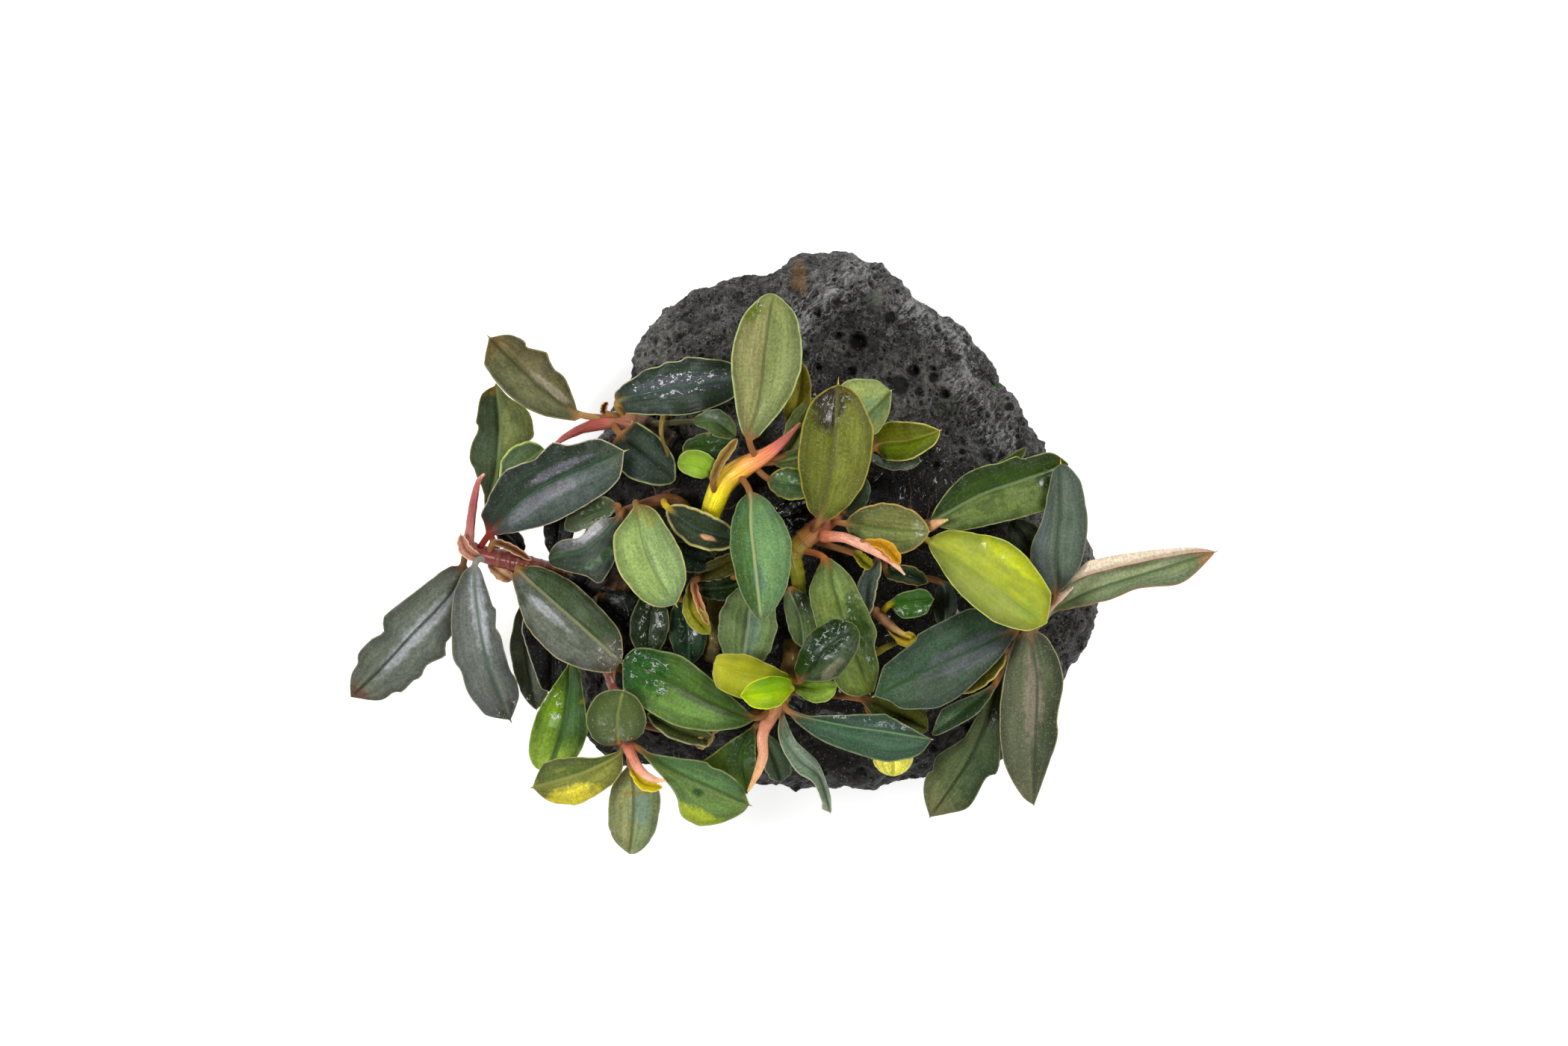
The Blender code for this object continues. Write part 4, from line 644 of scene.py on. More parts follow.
        [(-7.6, -27.5, 43.6), (-11.7, -28.2, 48), (-16, -28.8, 48.8)],
        Look("99b304", "7ba104", "adc304", rim="cede3c", rib="78a00a", rib_width=0.12, mottle="6b9504",
        under="8ca51e", ruffle=(0.03, 0.03), stalk="969632", point=0, veins=0.35),
        "rhizome_bottom_centre", 2.6, edges=([(-7.7, -28), (-9.6, -30.3), (-11, -30.9), (-12.8, -31),
        (-14.4, -30.5), (-16, -28.9)],
        [(-7.7, -26.9), (-8.3, -26), (-11.3, -25.5), (-14.5, -26.6), (-16, -28.5)])),
    "leaf_bottom_long": Leaf(
        [(-7.5, -31.7, 40), (1.3, -33.8, 41.8), (8.8, -34.9, 41.8), (15.8, -36.1, 40.6)],
        Look("3c523f", "445c35", wet=Mark("3e4e45", 0.5, 1.2, 0.44, 0.9), rim_width=0.24, rib="64785a",
        rib_width=0.16, mottle="364c31", fleck=0.35, mucro=0.4, mucro_colour="e6d796"),
        "rhizome_bottom_centre", 2.75, edges=([(-7.8, -31.5), (-6.4, -32.2), (7.3, -31.8), (8.8, -32.2),
        (15.7, -36)],
        [(-7.8, -31.9), (-6.4, -33.6), (-1.8, -36.7), (7.2, -39.7), (11.2, -39.5), (13, -39), (14.4, -38.1),
        (15.8, -36.3)])),
    "leaf_bottom_yellow": Leaf(
        [(8.2, -35, 36.6), (9.3, -38.1, 36.2), (9.6, -42.3, 33.6)],
        Look("ded860", "e4dc5e", "f2ec64", patch=Mark("808030", 0.3, -2.4, 0.2, 1.2), rim="aab46e",
        mottle="c8bc42"), left=3.3, right=3.4, foot=(5.4, -31.6, 34.1), widest=0.55),
    "leaf_bottom_narrow": Leaf(
        [(-9.2, -31.5, 38.4), (-8.9, -35.6, 38.2), (-6.4, -39.5, 37), (-3.2, -42.1, 34.5),
        (-1.8, -45.8, 31.5), (-1.1, -48.4, 29)],
        Look("899982", "7b8f74", "9ba788", 0.7, patch=Mark("4b5b3e", 0.1, 0, 0.16, 1.8), ruffle=(0.1, 0.2),
        mucro=0.8, mucro_colour="96825a"),
        "rhizome_bottom_centre", 3.1, edges=([(-8.9, -31.5), (-6.9, -36.1), (-4, -38.9), (-2.9, -40.6),
        (-1.3, -44.4), (-0.8, -48.3)],
        [(-9.4, -31.5), (-9.8, -35.6), (-8.5, -38.9), (-6.6, -41.7), (-4.1, -43.2), (-2.6, -46.2),
        (-2.5, -47.6), (-1.5, -48.3)])),
    "leaf_bottom_green": Leaf(
        [(-13.6, -34, 36.2), (-16.1, -38.8, 32.8), (-15, -45.3, 27.5)],
        Look("465a10", "364a08", wet=Mark("2d4504", 0.4, 0, 0.4, 2.6), rib="384c1c", fleck=0.1, film=0.1,
        mucro=0.3),
        "rhizome_bottom_centre", 4.2, edges=([(-13.4, -34.1), (-13.6, -41.2), (-14.8, -45)],
        [(-13.8, -33.9), (-18.4, -36.6), (-22.2, -39.5), (-22.2, -41.2), (-20.9, -43.1), (-18.8, -44.7),
        (-16.9, -45.5), (-15.2, -45.5)])),
    "leaf_bottom_left_olive": Leaf(
        [(-36, -38.2, 34), (-41.3, -41.3, 34.2), (-45.9, -42.9, 32.6), (-51.1, -44.4, 29)],
        Look("686c36", "546034", "8c844a", 0.84, patch=Mark("c8ba38", 0.62, 3.4, 0.34, 2.1, 0.95),
        rim="aeaa64", rib="7c8048", mottle="787a3c", mucro=0.8, mucro_colour="e2c4a0", stalk="6e6038"),
        "rhizome_bottom_left", 2.9, edges=([(-35.8, -38.6), (-35.8, -41.1), (-36.7, -42.8), (-38.1, -44.2),
        (-42.3, -46.8), (-44.5, -47.1), (-48, -46.6), (-50.9, -44.4)],
        [(-36.2, -38.1), (-40.2, -39.2), (-44.5, -39.1), (-48.2, -39.8), (-49.6, -41.2), (-50.9, -44.2)])),
    "leaf_bottom_round": Leaf(
        [(-36.4, -36.7, 37.4), (-36.6, -32.5, 41.4), (-35.6, -27.9, 44.4)],
        Look("4a5632", wet=Mark("4c5637", 0.36, 0, 0.3, 3.4), rib="707642", mottle="404e33", speckle=0.9,
        fleck=0.2, stalk="964630", ruffle=(0.05, 0.05), point=0, veins=0.35), "rhizome_bottom_left", 3, 5,
        4.8, base_power=0.5, tip_power=0.5),
    "leaf_bottom_upright": Leaf(
        [(-34.5, -40, 32), (-34, -46.3, 30.6), (-34.3, -51.3, 27), (-34.8, -55.5, 22.5)],
        Look("757f55", "838555", "979d6d", 0.8, patch=Mark("677d71", 0.42, 1.2, 0.2, 1.8),
        wet=Mark("84703c", 0.27, 0, 0.014, 3.4), mottle="6d7f5f", point=0.2, film=0),
        "rhizome_bottom_left", 3.5, edges=([(-34.4, -40.3), (-30.6, -43.4), (-29.7, -44.7), (-29.5, -46.6),
        (-30, -50), (-31.2, -53.1), (-33.4, -55.2), (-34.6, -55.5)],
        [(-34.7, -40.3), (-37.6, -44), (-38.3, -49.1), (-37.5, -52.9), (-34.8, -55.5)])),
    "leaf_bottom_broad": Leaf(
        [(-32.7, -38, 35.2), (-26.9, -41.6, 36.6), (-20.6, -44.4, 36.2), (-14.6, -47.2, 34.2)],
        Look("4c6640", "5c703c", "6e7e42", 0.8, patch=Mark("98a636", 0.62, -5.4, 0.4, 1.6, 0.9),
        wet=Mark("244214", 0.55, -1.6, 0.06, 0.9), rim_width=0.24, mottle="547042", fleck=0.1,
        ruffle=(0.22, 0.1), mucro=0.8, mucro_colour="968c60"),
        "rhizome_bottom_left", 3.4, edges=([(-32.7, -37.7), (-29.7, -38.8), (-22.2, -39.8), (-21.1, -40.7),
        (-18.7, -41.6), (-16, -43.9), (-14.6, -47.1)],
        [(-32.8, -38.4), (-27.2, -45), (-26.2, -48.7), (-24, -50.3), (-22.5, -50.6), (-19.3, -50.2),
        (-15.9, -48.6), (-14.7, -47.2)])),
}


# Leaves that are too small or too hidden for a solid of their own
SMALL_LEAVES = {
    "leaf_under_upper_right": Leaf(
        [(4.6, 12.2, 40.2), (9, 11.4, 40.8), (13.9, 10.2, 40)],
        Look("4a5442", "606c5c", wet=Mark("5a6656", 0.5, -1, 0.5, 1.4), roughness=0.26, fleck=0.3),
        "rhizome_centre", 1.5, 2.5, 2.3),
    "leaf_under_wet": Leaf(
        [(-7.2, -26.8, 40.4), (-3.6, -27.6, 41), (0, -27.2, 40.6)],
        Look("6e8a32", "809c3e", "8ca646", rib="60782c"), "rhizome_bottom_centre", 1.9, 1.7, 2.3,
        widest=0.55),
    "leaf_left_brown_black": Leaf(
        [(-46.9, -5.6, 30.8), (-46.5, -1, 31.6), (-45.6, 4.6, 31.2)],
        Look("21201c", rim="3c3a2c"), "rhizome_left", 2, 2.4, 2.4),
    "leaf_left_under_big": Leaf(
        [(-53, -4.9, 28.8), (-54.6, -2.6, 29.2), (-57, -1, 28.8)],
        Look("1f211d", rib="3c3e38"), "rhizome_left", 3.1, 1.6, 1.6),
    "leaf_dark_teal": Leaf(
        [(-24.9, -12.6, 37.4), (-24.9, -18, 38), (-24.6, -23.6, 37.2)],
        Look("2e3f2f", wet=Mark("2c3c2e", 0.5, 0, 0.4, 1.6), rim="6e6a3e", rib="3c5442", fleck=0.3),
        "rhizome_top_centre", 1.9, 3.1, 3),
    "leaf_young_olive": Leaf(
        [(-24.2, -10.2, 40.6), (-24.2, -14.6, 41.4), (-21.2, -18.5, 40.8)],
        Look("8e8832", "84842a", "969636", rib="787628", mucro=0.4), "rhizome_top_centre", 2.7, 1.5, 1.5,
        widest=0.62, left_rise=1),
    "leaf_dark_pointed": Leaf(
        [(-28.2, -4.4, 40.4), (-24.4, -5.8, 41), (-20.2, -6.5, 40.9)],
        Look("232c20", mucro=0.5, mucro_colour="be8c46"), "rhizome_top_centre", 3.3, 2.3, 2.3),
    "leaf_brown_strip": Leaf(
        [(-23.2, -8.6, 40.4), (-19.4, -7.4, 41), (-15, -5.2, 41)],
        Look("4c4a24"), "rhizome_top_centre", 2.9, 1.6, 1.8),
    "leaf_dark_strip": Leaf(
        [(-22.8, -11, 40), (-19, -10.8, 40.6), (-15.4, -9.8, 40.3)],
        Look("2a3624", "222c20", rib="3c4c36"), "rhizome_top_centre", 2.4, 1.9, 2),
    "leaf_upper_grey_green": Leaf(
        [(-23.8, 17, 41.8), (-20.4, 17, 42.8), (-16.9, 14.6, 42.3)],
        Look("5c6e50", "54683c", "607038", wet=Mark("6e7c6c", 0.4, 0.6, 0.2, 1), rib="506242", fleck=0.3,
        stalk="44402c"), "rhizome_top_left", 1, 1.9, 2.1, widest=0.55),
    "leaf_upper_dark_green": Leaf(
        [(-24.8, 11.8, 42.2), (-21, 12.8, 43), (-16.8, 13.6, 42.4)],
        Look("3a4e2a", "344a2c", "405428", patch=Mark("8c6e4c", 0.5, 2.2, 0.06, 0.5),
        wet=Mark("364c2c", 0.7, 0, 0.3, 1.4), rib="324628", fleck=0.4), "rhizome_top_centre", 6.4, 2.3,
        2.4),
    "leaf_behind_top_centre": Leaf(
        [(-7.6, 15.4, 43.2), (-6.4, 20.4, 44.2), (-5.8, 26.6, 43.6)],
        Look("706a2a", "686424", "806c28", 0.7, rim="a4883a"), "rhizome_top_centre", 8.4, 2.3, 1.9),
    "leaf_grey_olive": Leaf(
        [(-8.4, 11.6, 43.6), (-6, 16.2, 44.4), (-3.2, 20.8, 44)],
        Look("667140", rib="546034"), "rhizome_top_centre", 8, 2.2, 2.4),
    "leaf_narrow_olive": Leaf(
        [(-10.4, 10.2, 43), (-7, 10.9, 43.6), (-3.2, 12.2, 43.2)],
        Look("586839", rib="788656"), "rhizome_top_centre", 7.6, 1.3, 1.6),
    "leaf_black_glossy": Leaf(
        [(-11.2, 0.4, 40.2), (-7.8, 1.3, 41), (-4.2, 3.2, 40.6)],
        Look("1c241c", wet=Mark("1c241e", 0.5, 0, 0.5, 2.4), rim="3a482c", roughness=0.2, fleck=1),
        "rhizome_centre", 4, 2.6, 2.7),
    "leaf_slate_under_top": Leaf(
        [(1.2, 1.8, 42), (3.3, 4.2, 42.6), (4.6, 7.6, 42)],
        Look("414d3d", rim="606e50"), "rhizome_centre", 2.6, 1.7, 1.8),
    "leaf_young_round": Leaf(
        [(-21, 8.3, 44.4), (-23.3, 9.7, 46.2), (-26.5, 10.1, 46.4)],
        Look("8cac3c", "86a636", "7e963a", rib="789634", stalk="a08c32", ruffle=(0.03, 0.03), point=0,
        veins=0.35), "rhizome_top_centre", 5.6, 2, 2.3, base_power=0.5, tip_power=0.5),
    "leaf_behind_right_upper": Leaf(
        [(15.9, 0.4, 40.6), (20.5, 3.4, 41.4), (26, 7.4, 41.2), (31.6, 12.5, 40.6)],
        Look("344022", "2c381e", "465228", rib="3c4828"), "rhizome_right", 2.8, 1.8, 1.8, widest=0.4),
    "leaf_dark_behind_right": Leaf(
        [(35.6, -9.6, 37.8), (32.6, -4.4, 39.2), (29.2, 0.4, 38.8)],
        Look("2a2f1d", rim="3c422c"), "rhizome_far_right", 3.2, 3.1, 3),
    "leaf_curled_right": Leaf(
        [(27.8, -21.6, 38), (25, -24.8, 38.8), (20.6, -28.4, 38.4)],
        Look("5c582c", "4a4c28", "786e3c", rim="c4b060", rim_width=0.3), "rhizome_far_right", 0.5, 1.6, 1.5,
        left_rise=1.2),
    "leaf_dark_olive_under": Leaf(
        [(4.2, -29.4, 38.2), (9.6, -31.6, 38.8), (15.2, -34.6, 38.2)],
        Look("40461a", "363e18", "4e5222", rim="6e7032", mottle="545222"), "rhizome_bottom_centre", 2.3,
        3.3, 2.8),
    "leaf_bottom_slate": Leaf(
        [(-12.2, -35.2, 35.4), (-10.4, -39.5, 34), (-9.4, -43.2, 31.4)],
        Look("45533f", mucro=0.4), "rhizome_bottom_centre", 4, 2.4, 1.9, widest=0.55),
    "leaf_thin_under_wet": Leaf(
        [(-21.4, -36.4, 36.2), (-26.6, -34.6, 37.4), (-31.6, -31.8, 37.8)],
        Look("4c5430", "424a2c", rim="aaac78", rim_width=0.3), "rhizome_bottom_left", 2.6, 1.6, 1.7),
    "leaf_right_dark_upright": Leaf(
        [(17.4, -10, 36.8), (18.2, -13.6, 37.6), (17.8, -17.6, 37.2)],
        Look("3a443b", rim="545e46", rib="545e58"), left=1.8, right=1.9, foot=(14, -9.2, 34)),
    "leaf_right_ochre_tip": Leaf(
        [(8.2, -7.8, 39.2), (11.8, -8.6, 40), (15.1, -9.9, 39.6)],
        Look("303a2a", rim="968242", mucro=0.3), "rhizome_right", 1.6, 1.4, 1.4),
    "leaf_slate_beside_olive": Leaf(
        [(6.7, -6, 40.8), (5, -10.8, 41.2), (4.7, -16, 40.4)],
        Look("525e55", rim="b0a87e", rim_width=0.26, rib="465248"), "rhizome_right", 1.1, 1.6, 1.5),
    "leaf_dark_under_left": Leaf(
        [(-36.6, -24.4, 36.2), (-33, -28.4, 36.4), (-29.6, -33.6, 35.6)],
        Look("211e15", rim="383224"), "rhizome_bottom_left", 1, 2.6, 2.6),
    "leaf_dark_under_bent": Leaf(
        [(-37.6, -5, 35.6), (-41.6, -9.4, 35.2), (-44.2, -13.4, 34)],
        Look("191f17", rim="2c3428"), "rhizome_left", 1.1, 2.6, 2.6),
}

# Papery sheaths and rolled flaps round the bases of the leaves
SHEATHS = {
    "sheath_left_end": Leaf(
        [(-60.2, -5.8, 27.9), (-62.2, -4.4, 29.4), (-63, -2, 29.6)],
        Look("ce967e", "c48c74", rim="e8c4aa", mucro=0.4), "rhizome_left", 4.4, 1, 0.9, left_rise=0.8,
        right_rise=0.8),
    "sheath_left_under": Leaf(
        [(-58, -6.9, 27), (-56.4, -8.4, 27.2), (-54.4, -9.5, 26.8)],
        Look("c49670", "cc9e7a", rim="debe9e"), "rhizome_left", 3.6, 1.2, 1, widest=0.55),
    "sheath_left_upper": Leaf(
        [(-57.4, -3.3, 29.6), (-54.6, -4.1, 30.6), (-51.2, -6.2, 30.4)],
        Look("8e684c", "784236", rim="ceb088"), "rhizome_left", 3.9, 0.5, 0.6),
    "sheath_top_centre": Leaf(
        [(-20.6, 7, 44.4), (-19.4, 10.2, 46), (-16.6, 14, 46.2)],
        Look("a6864c", "967640", under="8c6e3c"), "rhizome_top_centre", 5.4, 0.7, 0.7, widest=0.6,
        base_power=0.4, tip_power=0.4),
    "sheath_young_pink": Leaf(
        [(-23.8, -10, 41.4), (-22.8, -13.8, 42.6), (-21.4, -17, 41.8)],
        Look("c48660", "b87854"), "rhizome_top_centre", 2.6, 0.55, 0.55),
    "sheath_yellow_flap": Leaf(
        [(4.6, -3.2, 47), (8, -3.9, 47.4), (10.5, -6.8, 46.6)],
        Look("d3992f", rim="e0b03c", under="c89632"), "shoot_centre", 1.6, 1, 0.8, widest=0.6),
    "sheath_bottom_yellow_edge": Leaf(
        [(-34.2, -41, 36.2), (-32.2, -43.6, 37.8), (-29.2, -44.2, 38.4)],
        Look("d6be2a", "dec63c", rim="ead45a", under="d6be32"), "rhizome_bottom_left", 4.2, 0.8, 0.9,
        widest=0.55),
    "sheath_brown_stub": Leaf(
        [(-20, -34.4, 37.2), (-21.6, -36, 36.8), (-23.4, -37.4, 36)],
        Look("9c7a50", "8c6a46"), "rhizome_bottom_centre", 3.2, 0.9, 0.9, widest=0.6, tip_power=0.35),
    "sheath_right_yellow": Leaf(
        [(8.4, -17, 38.6), (11.2, -19.4, 39.2), (13.2, -19, 38.8)],
        Look("b8a032", "aa9430", rim="c8b04a"), left=1.2, right=1.1, foot=(6.6, -15.4, 36.6), widest=0.6,
        tip_power=0.45),
    "sheath_curled_left": Leaf(
        [(-38.7, 18.4, 34.6), (-38.9, 19.4, 35.2), (-38.3, 20.2, 35.4)],
        Look("6c4a30", rim="ceaa78"), "rhizome_top_left", 2, 0.4, 0.4),
    "sheath_green_flap": Leaf(
        [(2.8, -5, 41.2), (4.6, -6.4, 41.8), (5.8, -7.4, 41.4)],
        Look("969228", "888824", rim="b4aa3c"), "rhizome_centre", 4.2, 0.9, 0.9),
}


# Where the curve from shown to bare colours stops being straight, and its slope, shift and power
SRGB_KNEE = 0.04045
SRGB_SLOPE = 12.92
SRGB_SHIFT = 0.055
SRGB_POWER = 2.4
PALE_RIM = "cdc391"
RIM_SHARE = 0.45
RIB_DARKNESS = 0.72
MOTTLE_DARKNESS = 0.8
NO_TIP = 1.4
# What the lights add to a colour, and the sheen that lies over it, taken off before it is painted
LIGHT_GAIN = 1.28
SHEEN = 0.018
DARKEST = 0.003


def read_colour(colour):
    """Red, green and blue from 0 to 255, from six hexadecimal digits or from three numbers."""
    if isinstance(colour, str):
        return [int(colour[at:at + 2], 16) for at in (0, 2, 4)]
    return list(colour)


def mean_colour(first, second, strength=1.0):
    """The mean of two colours, made lighter or darker."""
    return [(a + b) / 2 * strength for a, b in zip(read_colour(first), read_colour(second))]


def part_way(first, second, share):
    """The colour a share of the way from one to another."""
    return [a * (1.0 - share) + b * share for a, b in zip(read_colour(first), read_colour(second))]


def paint(colour):
    """A colour seen in the light, from 0 to 255, as the bare colour that a material takes."""
    made = []
    for value in read_colour(colour):
        value = value / 255
        bare = ((value + SRGB_SHIFT) / (1.0 + SRGB_SHIFT)) ** SRGB_POWER
        linear = value / SRGB_SLOPE if value <= SRGB_KNEE else bare
        made.append(max(linear * LIGHT_GAIN - SHEEN, DARKEST))
    return (*made, 1.0)


def smooth_point(points, place):
    """The point at a place along a smooth curve through the points, counted in points."""
    last = len(points) - 1
    place = min(max(place, 0.0), float(last))
    index = min(int(place), last - 1)
    t = place - index
    before = points[max(index - 1, 0)]
    start = points[index]
    end = points[index + 1]
    after = points[min(index + 2, last)]
    return tuple(
        0.5 * (2 * b + (c - a) * t + (2 * a - 5 * b + 4 * c - d) * t**2 + (3 * b - a - 3 * c + d) * t**3)
        for a, b, c, d in zip(before, start, end, after)
    )


def soft_step(value, low, high):
    """0 below low and 1 above high, with a smooth rise between."""
    share = np.clip((value - low) / (high - low), 0.0, 1.0)
    return share * share * (3.0 - 2.0 * share)


def stalk_foot(leaf):
    """Where the stalk begins, inside the skin of what it grows from."""
    start = Vector(leaf.path[0])
    if leaf.foot:
        foot = Vector(leaf.foot)
        return foot + (foot - start).normalized() * FOOT_SINK
    stem = RHIZOMES[leaf.stem].points
    x, y, z, radius = smooth_point(stem, leaf.place)
    middle = Vector((x, y, z))
    ahead = Vector(smooth_point(stem, leaf.place + WAY_STEP)[:3])
    behind = Vector(smooth_point(stem, leaf.place - WAY_STEP)[:3])
    along = (ahead - behind).normalized()
    reach = start - middle
    out = reach - along * reach.dot(along)
    return middle + out.normalized() * radius * STALK_DEPTH


def leaf_stations(leaf, mucro):
    """Each station's middle, side way and up way, and its place: below 0 on the stalk, above 1 on
    the bristle at the tip."""
    path = [tuple(stalk_foot(leaf))] + [tuple(point) for point in leaf.path]
    span = len(path) - 2
    reach = sum(math.dist(a, b) for a, b in zip(leaf.path, leaf.path[1:]))
    count = BLADE_STATIONS if reach > SMALL_REACH else SMALL_BLADE_STATIONS
    stations = [(index / STALK_STATIONS, index / STALK_STATIONS - 1.0) for index in range(STALK_STATIONS)]
    for index in range(count):
        even = index / (count - 1)
        s = END_CROWDING * 0.5 * (1.0 - math.cos(math.pi * even)) + (1.0 - END_CROWDING) * even
        stations.append((1.0 + s * span, s))
    rows = []
    for place, s in stations:
        middle = Vector(smooth_point(path, place))
        way = Vector(smooth_point(path, place + WAY_STEP)) - Vector(smooth_point(path, place - WAY_STEP))
        way.normalize()
        side = Vector((-way.y, way.x, 0.0)).normalized()
        rows.append((middle, side, way.cross(side), s))
    tip, side, up, _ = rows[-1]
    for index in range(1, MUCRO_STATIONS + 1):
        share = index / MUCRO_STATIONS
        rows.append((tip + (way - up * MUCRO_DROOP * share) * mucro * share, side, up, 1.0 + share))
    return rows, reach


def blade_shares(leaf, s, point):
    """Half width at each place along the blade, as a share of the widest. A point of 1 ends the
    blade in an acute tip and 0 in a round one, and with a point the base is a wedge too."""
    inside = np.clip(s, 0.0, 1.0)
    x = inside ** (math.log(0.5) / math.log(leaf.widest))
    power = np.where(x < 0.5, leaf.base_power, leaf.tip_power)
    share = np.sin(np.pi * np.clip(x, 0.0, 1.0)) ** power
    order = np.argsort(inside, kind="stable")
    for place, start in ((inside, TAIL_START), (1.0 - inside, 1.0 - WEDGE_END)):
        tail = np.clip((place - start) / (1.0 - start), 0.0, 1.0)
        at_start = np.interp(start if place is inside else 1.0 - start, inside[order], share[order])
        pointed = at_start * (1.0 - tail) * (1.0 + TAIL_BULGE * tail)
        pull = point if place is inside else point * WEDGE_SHARE
        share = np.where(tail > 0.0, share + (pointed - share) * pull, share)
    return share


def seen_halves(edge, middle, side, s, turn):
    """Half widths that meet an edge seen in the photograph. Where a station's side way misses the
    edge, as at both ends of the leaf, the width runs on evenly to nothing."""
    steps = np.linspace(0.0, len(edge) - 1.0, (len(edge) - 1) * EDGE_STEPS + 1)
    curve = np.array([smooth_point(edge, step) for step in steps])
    starts, spans = curve[:-1], np.diff(curve, axis=0)
    found = np.full(len(s), np.nan)
    for index, (at, way) in enumerate(zip(middle[:, :2], side[:, :2] * turn)):
        if not 0.0 <= s[index] <= 1.0:
            continue
        cross = way[0] * spans[:, 1] - way[1] * spans[:, 0]
        cross = np.where(np.abs(cross) < TINY, TINY, cross)
        gap = starts - at
        away = (gap[:, 0] * spans[:, 1] - gap[:, 1] * spans[:, 0]) / cross
        share = (gap[:, 0] * way[1] - gap[:, 1] * way[0]) / cross
        hits = away[(share >= 0.0) & (share <= 1.0) & (away > 0.0)]
        if len(hits):
            found[index] = hits.min()
    known = ~np.isnan(found)
    places = np.concatenate([[BLADE_START], s[known], [1.0]])
    widths = np.concatenate([[0.0], found[known], [0.0]])
    return np.where(s > 1.0, 0.0, np.interp(s, places, widths))


def margin_wave(s, waves, luck):
    """Scallops along one margin, from -1 to 1, uneven and calm at both ends."""
    turn = luck.uniform(0.0, math.tau)
    slow = luck.uniform(0.0, math.tau)
    bend = s + SCALLOP_DRIFT * np.sin(DRIFT_TURNS * math.pi * s + slow)
    scallop = np.abs(np.sin(math.pi * waves * bend + turn)) ** SCALLOP_POWER * 2.0 - 1.0
    uneven = 1.0 - UNEVENNESS + UNEVENNESS * np.sin(UNEVEN_TURNS * math.pi * waves * bend + slow)
    calm = np.clip(np.sin(np.pi * np.clip(s, 0.0, 1.0)) * CALM_RISE, 0.0, 1.0)
    return scallop * uneven * calm


def through_three(t, middle, end):
    """A curve from 0 at t = 0 through the middle value at QUARTER_PLACE to the end value at t = 1."""
    q = QUARTER_PLACE
    bend = (middle - end * q) / (q * q - q)
    return bend * t * t + (end - bend) * t


def three_slope(t, middle, end):
    """How steeply through_three climbs."""
    bend = (middle - end * QUARTER_PLACE) / (QUARTER_PLACE**2 - QUARTER_PLACE)
    return 2.0 * bend * t + end - bend


def half_widths(leaf, size, stations, share, least, luck):
    """How far each margin is from the midrib at each station, left and then right, and how far its
    waves lift it."""
    middle, side, s = stations
    look = leaf.look
    halves = []
    lifts = []
    sides = ((1, leaf.left, look.ruffle[0]), (-1, leaf.right, look.ruffle[1]))
    for index, (turn, width, ruffle) in enumerate(sides):
        ruffle = ruffle * size.ruffle
        wave = margin_wave(s, look.waves, luck)
        shakes = [luck.uniform(-1, 1) for _ in range(TREMBLES)]
        tremble = np.interp(s, np.linspace(0.0, 1.0, TREMBLES), shakes) * share
        if leaf.edges:
            half = seen_halves(leaf.edges[index], middle, side, s, turn)
            half += ruffle * SEEN_RUFFLE * wave + SEEN_TREMBLE * tremble
        else:
            half = width * share + least + ruffle * wave
            half += EDGE_TREMBLE * min(width / BROAD_LEAF, 1.0) * tremble
        halves.append(np.maximum(half, least))
        lifts.append(ruffle * WAVE_HEIGHT * margin_wave(s + WAVE_SHIFT, look.waves, luck))
    return halves, lifts


def fold_left_half(leaf, s, t, leftward, share, half, offset, rise):
    """Turns the left half over: its points' places across and up, and the way that they face."""
    (crest, crest_rise), (edge, fold_rise) = leaf.fold
    over = soft_step(s, *FOLD_OVER)[:, None]
    bends = (QUARTER_PLACE + (crest - QUARTER_PLACE) * over, 1.0 + (edge - 1.0) * over)
    lifts = (share[:, None] * crest_rise * over, share[:, None] * fold_rise * over)
    offset = np.where(leftward, half * through_three(t, *bends), offset)
    rise = np.where(leftward, through_three(t, *lifts), rise)
    across_way = half * three_slope(t, *bends)
    up_way = three_slope(t, *lifts)
    length = np.maximum(np.hypot(across_way, up_way), TINY)
    lean = np.where(leftward, -up_way / length, 0.0)
    return offset, rise, lean, np.where(leftward, across_way / length, 1.0)


def leaf_skin(s, t, below, offset, stalk, spike, size):
    """How far the upper side and the underside are from the middle of the blade, with the stalk
    that fades into it and the sunken midrib."""
    blade = size.thickness / MM / 2 * np.sqrt(1.0 - t**EDGE_FALL)
    blade = blade * (soft_step(s, *BLADE_STARTS) * np.where(s > 1.0, spike, 1.0))[:, None]
    round_part = np.sqrt(np.clip(1.0 - (offset / np.maximum(stalk, LEAST_LENGTH)[:, None]) ** 2, 0.0, 1.0))
    sunk = 1.0 - STALK_SUNK * soft_step(s, *STALK_SINKS)[:, None]
    thick = np.maximum(blade, stalk[:, None] * round_part * np.where(below, 1.0, sunk))
    on_blade = soft_step(s, *RIB_STARTS) * (1.0 - soft_step(s, *RIB_ENDS))
    groove = on_blade[:, None] * np.exp(-((offset / RIB_GROOVE_WIDTH) ** 2))
    thick = thick + np.where(below, RIB_UNDER_SHARE, -1.0) * groove * size.rib_depth / MM
    return thick * np.where(below, -1.0, 1.0)


